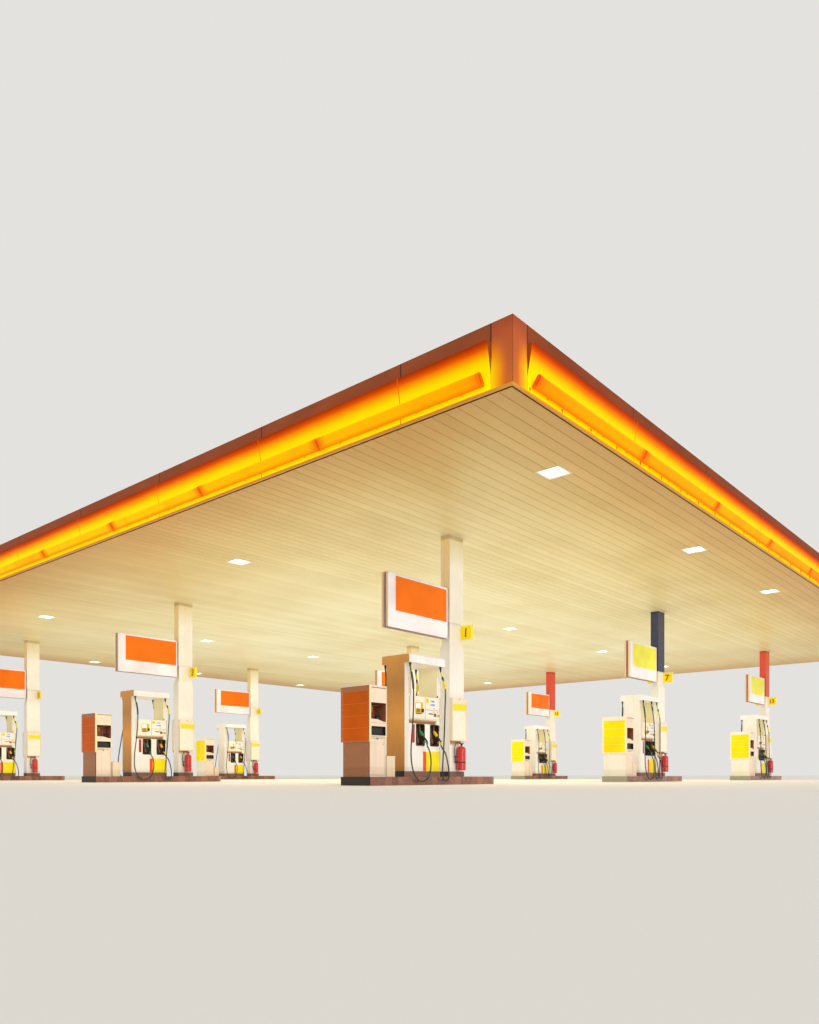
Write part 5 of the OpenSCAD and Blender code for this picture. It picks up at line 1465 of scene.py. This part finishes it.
# Flat pieces on the -Y face of a dispenser: finish, slot, surface they stand on, and for each piece its lower
# left and upper right corner as (x, z), its thickness and its corner radius
FACE, BEZEL = -0.245, -0.259
FACE_PIECES = {
    "red_stripes": ("film_red", "panel_orange", FACE, [(0.0, 0.283, 0.098, 0.683, 0.0008, 0.001)]),
    "yellow_blocks": ("film_yellow", "panel_yellow", FACE, [
        (0.098, 0.283, 0.540, 0.683, 0.0008, 0.001), (0.527, 1.127, 0.543, 1.230, 0.0015, 0.002)]),
    "dark_red_strips": ("film_dark_red", "panel_orange", FACE, [(-0.345, 0.855, -0.262, 1.226, 0.001, 0.002)]),
    "green_tabs": ("film_green", "nozzle_green", FACE, [(0.510, 1.127, 0.526, 1.230, 0.0015, 0.002)]),
    "post_joints": ("line", "dispenser_white", FACE, [
        (-0.537, 0.300, -0.534, 2.436, 0.0008, 0.001), (-0.492, 0.300, -0.489, 2.436, 0.0008, 0.001),
        (-0.441, 1.325, -0.438, 2.436, 0.001, 0.001), (0.438, 1.325, 0.441, 2.436, 0.001, 0.001),
        (-0.570, 1.8, -0.442, 1.8025, 0.0008, 0.001)]),
    "dark_seams": ("seam", "black_plastic", FACE, [
        (0.5445, 0.285, 0.5535, 1.800, 0.001, 0.001), (0.048, 1.352, 0.054, 1.80, 0.0125, 0.001)]),
    "terminals": ("terminal", "panel_yellow", BEZEL, [(-0.262, 1.462, -0.027, 1.674, 0.012, 0.02)]),
    "terminal_frames": ("black_gloss", "black_plastic", BEZEL, [
        (-0.082, 1.475, -0.026, 1.550, 0.033, 0.012), (-0.100, 1.555, -0.094, 1.662, 0.0132, 0.002),
        (0.162, 1.450, 0.309, 1.472, 0.004, 0.004)]),
    "terminal_screens": ("screen", "case_white", BEZEL, [
        (-0.254, 1.556, -0.108, 1.656, 0.015, 0.006), (0.285, 1.560, 0.381, 1.595, 0.003, 0.003)]),
    "digit_windows": ("window", "case_white", BEZEL, [
        (0.210, 1.701, 0.345, 1.739, 0.003, 0.004), (0.210, 1.626, 0.363, 1.666, 0.003, 0.004)]),
    "yellow_labels": ("film_yellow", "panel_yellow", BEZEL, [(0.067, 1.679, 0.164, 1.774, 0.003, 0.003)]),
    "orange_labels": ("film_orange", "panel_orange", BEZEL, [
        (0.432, 1.403, 0.512, 1.460, 0.003, 0.003), (0.101, 1.700, 0.129, 1.752, 0.0036, 0.003)]),
    "brown_pads": ("brown", "black_plastic", BEZEL, [
        (-0.256, 1.441, -0.089, 1.458, 0.02, 0.006), (0.327, 1.407, 0.406, 1.475, 0.004, 0.005),
        (0.30, 1.497, 0.345, 1.508, 0.004, 0.002), (0.43, 1.497, 0.47, 1.508, 0.004, 0.002),
        (0.064, 1.5355, 0.506, 1.5395, 0.0022, 0.001)]),
    "bezel_plates": ("bezel", "dispenser_white", BEZEL, [
        (-0.412, 1.362, 0.040, 1.790, 0.002, 0.01), (0.066, 1.552, 0.514, 1.790, 0.002, 0.01),
        (0.066, 1.362, 0.514, 1.524, 0.002, 0.01)]),
}


def face_pieces(surface):
    """Makes the flat pieces of the dispensers that stand on one surface."""
    for name, (finish, slot, y, parts) in FACE_PIECES.items():
        if y == surface:
            both_faces(name, lambda bm: [plate(bm, p[:2], p[2:4], y, *p[4:]) for p in parts],
                       dispenser_places(), finish)


# Seven segment figures that are figures in a mirror too: which of the segments top, upper left, upper right,
# middle, lower left, lower right and bottom are on
SEGMENTS = {"0": "1110111", "1": "0010010", "2": "1011101", "5": "1101011", "8": "1111111"}


class CANOPY_OT_dispensers(bpy.types.Operator):
    """Trims, rims, tongues, screws and end cladding of the dispensers"""
    bl_idname = "canopy.dispensers"
    bl_label = "Dispensers"

    def execute(self, context):
        face_pieces(FACE)
        for name, boots, islands in BOOT_SETS:
            def rims(bm):
                for x, w in boots:
                    hoop(bm, (x - w / 2 - 0.005, 0.795), (x + w / 2 + 0.005, 1.242), 0.013, FACE, 0.009, 0.03)
            both_faces(f"{name}_rims", rims, dispenser_places(islands), "black_gloss")

        # The tongues are lighter brown than the boots: a painted highlight on the lit inner wall of each boot.
        for name, boots, islands in BOOT_SETS:
            def tongues(bm):
                for x, w in boots:
                    for outline in ([(-0.28, 1.225), (-0.42, 1.225), (-0.1, 0.86), (0.06, 0.86)],
                                    [(0.2, 1.225), (0.1, 1.225), (0.2, 1.02), (0.28, 1.02)]):
                        prism(bm, [(x + w * part, z) for part, z in outline], -0.2, -0.182)
            both_faces(f"{name}_tongues", tongues, dispenser_places(islands), "tongue")

        def trims(bm):
            slab(bm, (-0.572, -0.3695, 2.438), (0.572, -0.3665, 2.447), 0.001)
            slab(bm, (-0.572, -0.3695, 2.602), (0.572, -0.3665, 2.608), 0.001)
            slab(bm, (-0.438, -0.2465, 1.322), (0.438, -0.2435, 1.332), 0.001)
            slab(bm, (-0.438, -0.186, 1.3), (0.438, -0.183, 1.318), 0.001)

        both_faces("dispenser_trims", trims, dispenser_places(), "line")

        def cladding(bm):
            for s in (-1, 1):
                for low, high in ((0.292, 1.241), (1.249, 2.432)):
                    slab(bm, (s * DISPENSER_HALF, -0.236, low), (s * 0.5725, -0.001, high), 0.001)
                slab(bm, (s * DISPENSER_HALF, -0.3675, 2.444), (s * 0.572, -0.001, 2.604), 0.001)

        both_faces("end_cladding", cladding, dispenser_places(), "dispenser")

        def screws(bm):
            screws_at(bm, (0.558,), (FACE,), (0.33, 0.62, 0.92, 1.2, 1.36, 1.56, 1.76), (0, -1, 0), 0.0055)
            screws_at(bm, (-0.555, -0.455, 0.455, 0.555), (FACE,), (1.86, 2.12, 2.38), (0, -1, 0), 0.0055)
            screws_at(bm, (-0.53, 0, 0.53), (-0.3675,), (2.525,), (0, -1, 0), 0.0055)
            for s in (-1, 1):
                screws_at(bm, (s * 0.5725,), (-0.2, -0.06), (0.34, 0.76, 1.19, 1.30, 1.84, 2.39), (s, 0, 0), 0.0055)

        both_faces("dispenser_screws", screws, dispenser_places(), "steel")

        def locks(bm):
            rod(bm, (0.526, FACE + 0.001, 0.76), (0.526, FACE - 0.004, 0.76), 0.009, 14)
            rod(bm, (0.526, FACE - 0.004, 0.76), (0.526, FACE - 0.006, 0.76), 0.0055, 12)
            slab(bm, (0.448, -0.262, 1.812), (0.468, -0.245, 1.846), 0.003)
            slab(bm, (0.448, -0.268, 1.812), (0.468, -0.258, 1.83), 0.003)

        both_faces("dispenser_locks", locks, dispenser_places(), "black")
        return {"FINISHED"}


class CANOPY_OT_terminals(bpy.types.Operator):
    """Card terminals, displays and labels on the bezels of the dispensers"""
    bl_idname = "canopy.terminals"
    bl_label = "Terminals"

    def execute(self, context):
        face_pieces(BEZEL)

        def digits(bm):
            for text, right, low, tall in (("1508", 0.332, 1.707, 0.026), ("20815", 0.352, 1.632, 0.028)):
                wide = tall * 0.52
                for k, figure in enumerate(reversed(text)):
                    x = right - wide - k * wide * 1.55
                    self.figure(bm, SEGMENTS[figure], x, low, wide, tall)

        both_faces("digits", digits, dispenser_places(), "digit")

        def keys(bm):
            for r in range(3):
                for c in range(4):
                    x, z = -0.238 + c * 0.0285, 1.476 + r * 0.0235
                    plate(bm, (x, z), (x + 0.0225, z + 0.0175), BEZEL - 0.012, 0.0035, 0.003)
            for r in range(3):
                for c in range(3):
                    x, z = 0.334 + c * 0.0235, 1.413 + r * 0.0205
                    plate(bm, (x, z), (x + 0.018, z + 0.0155), BEZEL - 0.004, 0.003, 0.003)
            for c in range(4):
                plate(bm, (0.17 + c * 0.034, 1.455), (0.194 + c * 0.034, 1.467), BEZEL - 0.004, 0.003, 0.003)

        both_faces("terminal_keys", keys, dispenser_places(), "brown")

        def slots(bm):
            plate(bm, (-0.076, 1.511), (-0.032, 1.515), BEZEL - 0.033, 0.0012, 0.001)
            plate(bm, (0.30, 1.572), (0.366, 1.584), BEZEL - 0.003, 0.001, 0.001)

        both_faces("terminal_slots", slots, dispenser_places(), "seam")

        def screws(bm):
            for xs, zs, r in (((-0.341,), (1.714, 1.615, 1.426, 1.385), 0.006),
                              ((-0.395, 0.022, 0.085, 0.497), (1.376, 1.776), 0.0045),
                              ((0.112, 0.20, 0.28, 0.44), (1.388,), 0.004)):
                screws_at(bm, xs, (BEZEL - 0.002,), zs, (0, -1, 0), r)

        both_faces("bezel_screws", screws, dispenser_places(), "steel")
        return {"FINISHED"}

    def figure(self, bm, lit, x, z, wide, tall):
        """One seven segment figure, its lower left corner at x, z."""
        t, half = tall * 0.13, tall / 2
        bars = [(0, tall - t, wide, tall), (0, half, t, tall), (wide - t, half, wide, tall),
                (0, half - t / 2, wide, half + t / 2), (0, 0, t, half), (wide - t, 0, wide, half), (0, 0, wide, t)]
        for on, (x0, z0, x1, z1) in zip(lit, bars):
            if on == "1":
                prism(bm, [(x + x0, z + z0), (x + x1, z + z0), (x + x1, z + z1), (x + x0, z + z1)],
                      BEZEL - 0.0045, BEZEL - 0.003)


class CANOPY_OT_nozzles(bpy.types.Operator):
    """Coloured covers, ribbed grips and nuts of the nozzles"""
    bl_idname = "canopy.nozzles"
    bl_label = "Nozzles"

    def execute(self, context):
        cover = [(150, 26.5), (158, 33), (170, 33.5), (178, 33.5), (180, 35), (186, 35), (188, 33.5), (218, 33.5),
                 (220, 35), (226, 35), (228, 33.5), (238, 33), (262, 27), (285, 19), (292, 11)]
        grip = [(34, 17)] + [(34 + 7 * k + d, r) for k in range(12) for d, r in ((1, 18.6), (4.5, 18.6), (6, 17))] + [
            (120, 17)]
        for name, finish, slot, boot, islands in (
                ("green", "green", "nozzle_green", BOOTS[0], ISLANDS),
                ("yellow", "yellow", "nozzle_yellow", BOOTS[1], ISLANDS),
                ("black", "black", "black_plastic", MIDDLE_BOOT, THREE_HOSES)):
            # The handle rises from the tail, leaning by 35 degrees about X and 12 degrees about Y
            handle = (Matrix.Translation((boot[0] + TAIL_SHIFT, TAIL_Y, 0.88))
                      @ Matrix.Rotation(math.radians(-12), 4, "Y") @ Matrix.Rotation(math.radians(-35), 4, "X"))
            both_faces(f"nozzle_covers_{name}", lambda bm: self.lathe(bm, cover, handle, 18),
                       dispenser_places(islands), finish, True)
            both_faces(f"nozzle_grips_{name}", lambda bm: self.lathe(bm, grip, handle, 12),
                       dispenser_places(islands), "black")

            def nuts(bm):
                x = boot[0] + TAIL_SHIFT
                for low, high, r in ((0.836, 0.846, 0.0245), (0.848, 0.860, 0.0258)):
                    rod(bm, (x, TAIL_Y, low), (x, TAIL_Y, high), r, 6)
                rod(bm, (x, TAIL_Y, 0.822), (x, TAIL_Y, 0.836), 0.0175, 14, 0.0215)

            both_faces(f"tail_nuts_{name}", nuts, dispenser_places(islands), finish)
        return {"FINISHED"}

    def lathe(self, bm, profile, place, sides):
        """A closed turned shape from (distance, radius) in millimetres along the handle."""
        skin(bm, [[bm.verts.new(place @ Vector((r / 1000 * math.cos(a), r / 1000 * math.sin(a), along / 1000)))
                   for a in round_angles(sides)] for along, r in profile])


class CANOPY_OT_services(bpy.types.Operator):
    """Frames, trays, squeegees and door trims of the service units"""
    bl_idname = "canopy.services"
    bl_label = "Service units"

    def execute(self, context):
        def seams(bm):
            plate(bm, (-2.935, 1.846), (-2.525, 1.859), UNIT_Y, 0.0012, 0.001)
            hoop(bm, (-2.934, 0.951), (-2.546, 1.124), 0.009, UNIT_Y, 0.002, 0.008)
            plate(bm, (-2.944, 1.186), (-2.536, 1.189), UNIT_Y, 0.001, 0.001)
            plate(bm, (-2.944, 0.9265), (-2.52, 0.9300), UNIT_Y, 0.001, 0.001)

        both_faces("unit_seams", seams, island_places(), "seam")

        def trims(bm):
            hoop(bm, (-2.954, 1.191), (-2.526, 1.579), 0.009, UNIT_Y, 0.003, 0.006)
            slab(bm, (-2.514, -0.378, 0.94), (-2.508, -0.3705, 1.886), 0.001)
            slab(bm, (-2.95, -0.379, 1.884), (-2.506, -0.001, 1.893), 0.002)

        both_faces("unit_trims", trims, island_places(), "service")

        def trays(bm):
            prism(bm, [(-2.944, 1.2005), (-2.536, 1.2005), (-2.536, 1.215), (-2.60, 1.218), (-2.631, 1.224),
                       (-2.70, 1.244), (-2.741, 1.256), (-2.944, 1.262)], -0.372, -0.09)

        both_faces("unit_trays", trays, island_places(), "door")

        def squeegee(bm):
            tube(bm, [(-2.89, -0.27, 1.262), (-2.872, -0.27, 1.37), (-2.862, -0.27, 1.43)], 0.008, 8)
            tube(bm, [(-2.862, -0.27, 1.46), (-2.82, -0.272, 1.51), (-2.70, -0.274, 1.53), (-2.56, -0.275, 1.552)],
                 0.007, 8)
            slab(bm, (-2.895, -0.31, 1.40), (-2.825, -0.235, 1.505), 0.01, 2)
            slab(bm, (-2.80, -0.335, 1.2), (-2.66, -0.2, 1.232), 0.004)

        both_faces("unit_squeegees", squeegee, island_places(), "brown")

        def bucket(bm):
            rod(bm, (-2.61, -0.22, 1.202), (-2.61, -0.22, 1.34), 0.045, 16, 0.055)
            tube(bm, [(-2.655, -0.22, 1.335), (-2.65, -0.22, 1.40), (-2.61, -0.22, 1.42), (-2.57, -0.22, 1.40),
                      (-2.565, -0.22, 1.335)], 0.003, 6)

        both_faces("unit_buckets", bucket, island_places(), "black", True)

        def liners(bm):
            hoop(bm, (-2.927, 0.959), (-2.553, 1.117), 0.005, -0.372, 0.012, 0.004)
            slab(bm, (-2.92, -0.34, 0.965), (-2.56, -0.336, 1.105), 0.001)

        both_faces("unit_liners", liners, island_places(), "black")

        bm = bmesh.new()
        rod(bm, (-2.42, -0.29, 0.569), (-2.42, -0.29, 0.582), 0.014, 14, 0.011)
        rod(bm, (-2.27, 0.05, 0.569), (-2.27, 0.05, 0.578), 0.01, 12)
        slab(bm, (-2.467, -0.12, 0.35), (-2.464, -0.06, 0.38), 0.0008)
        copies("utility_knobs", bm, island_places(), "black")
        bm = bmesh.new()
        for z in (0.19, 0.53):
            screws_at(bm, (-2.452, -2.238), (-0.33,), (z,), (0, -1, 0), 0.006)
        for x, ys, zs in ((-2.465, (-0.31, 0.07), (0.19, 0.53)),
                          (-2.997, (-0.358, -0.12, 0.12, 0.358), (0.845, 1.838)),
                          (UNIT_X, (-0.30, 0.30), (0.22, 0.5, 0.78))):
            screws_at(bm, (x,), ys, zs, (-1, 0, 0), 0.006)
        copies("unit_screws", bm, island_places(), "steel")

        for k, (x, y, *_) in enumerate(ISLANDS):
            bm = bmesh.new()
            at = x + UNIT_X + 0.023
            front = y - 0.345
            # The trim ends below the rim of the upper part, which the open door swings past
            for x0, z0, x1, z1 in ((0.014, 0.219, 0.402, 0.231), (0.014, 0.814, 0.402, 0.826),
                                   (0.014, 0.231, 0.026, 0.814), (0.390, 0.231, 0.402, 0.814)):
                slab(bm, (at + x0, front - 0.0025, z0), (at + x1, front, z1), 0.0008)
            single(f"door_trim_{k + 1}", bm, "door", f"bin_door_{k + 1}")
            bm = bmesh.new()
            rod(bm, (at + 0.375, front + 0.001, 0.79), (at + 0.375, front - 0.004, 0.79), 0.011, 14)
            rod(bm, (at + 0.375, front - 0.004, 0.79), (at + 0.375, front - 0.0055, 0.79), 0.006, 10)
            for z in (0.225, 0.52, 0.82):
                screw(bm, (at + 0.396, front - 0.0025, z), (0, -1, 0), 0.0045)
            single(f"door_lock_{k + 1}", bm, "steel", f"bin_door_{k + 1}")
        return {"FINISHED"}


OPERATORS = [
    CANOPY_OT_stage, CANOPY_OT_finishes, CANOPY_OT_hoses, CANOPY_OT_soffit, CANOPY_OT_cornice, CANOPY_OT_columns,
    CANOPY_OT_extinguishers, CANOPY_OT_islands, CANOPY_OT_signs, CANOPY_OT_dispensers, CANOPY_OT_terminals,
    CANOPY_OT_nozzles, CANOPY_OT_services,
]


class CANOPY_PT_panel(bpy.types.Panel):
    """Lists the parts of the canopy and their settings"""
    bl_idname = "CANOPY_PT_panel"
    bl_label = "Filling Station Canopy"
    bl_space_type = "VIEW_3D"
    bl_region_type = "UI"
    bl_category = "Canopy"

    def draw(self, context):
        for group in GROUPS:
            box = self.layout.box()
            for key in GROUPS[group].__annotations__:
                box.prop(getattr(context.scene, group), key)
        for operator in OPERATORS:
            self.layout.operator(operator.bl_idname)


CLASSES = [*GROUPS.values(), *OPERATORS, CANOPY_PT_panel]


def register():
    """Registers the classes and hangs the settings on the scene."""
    for each in CLASSES:
        bpy.utils.register_class(each)
    for name, group in GROUPS.items():
        setattr(bpy.types.Scene, name, bpy.props.PointerProperty(type=group))


def unregister():
    """Takes the settings and the classes away again."""
    for name in GROUPS:
        delattr(bpy.types.Scene, name)
    for each in reversed(CLASSES):
        bpy.utils.unregister_class(each)


def main():
    """Builds the canopy round the frame."""
    register()
    for operator in OPERATORS:
        group, name = operator.bl_idname.split(".")
        getattr(getattr(bpy.ops, group), name)()


if __name__ == "__main__":
    main()
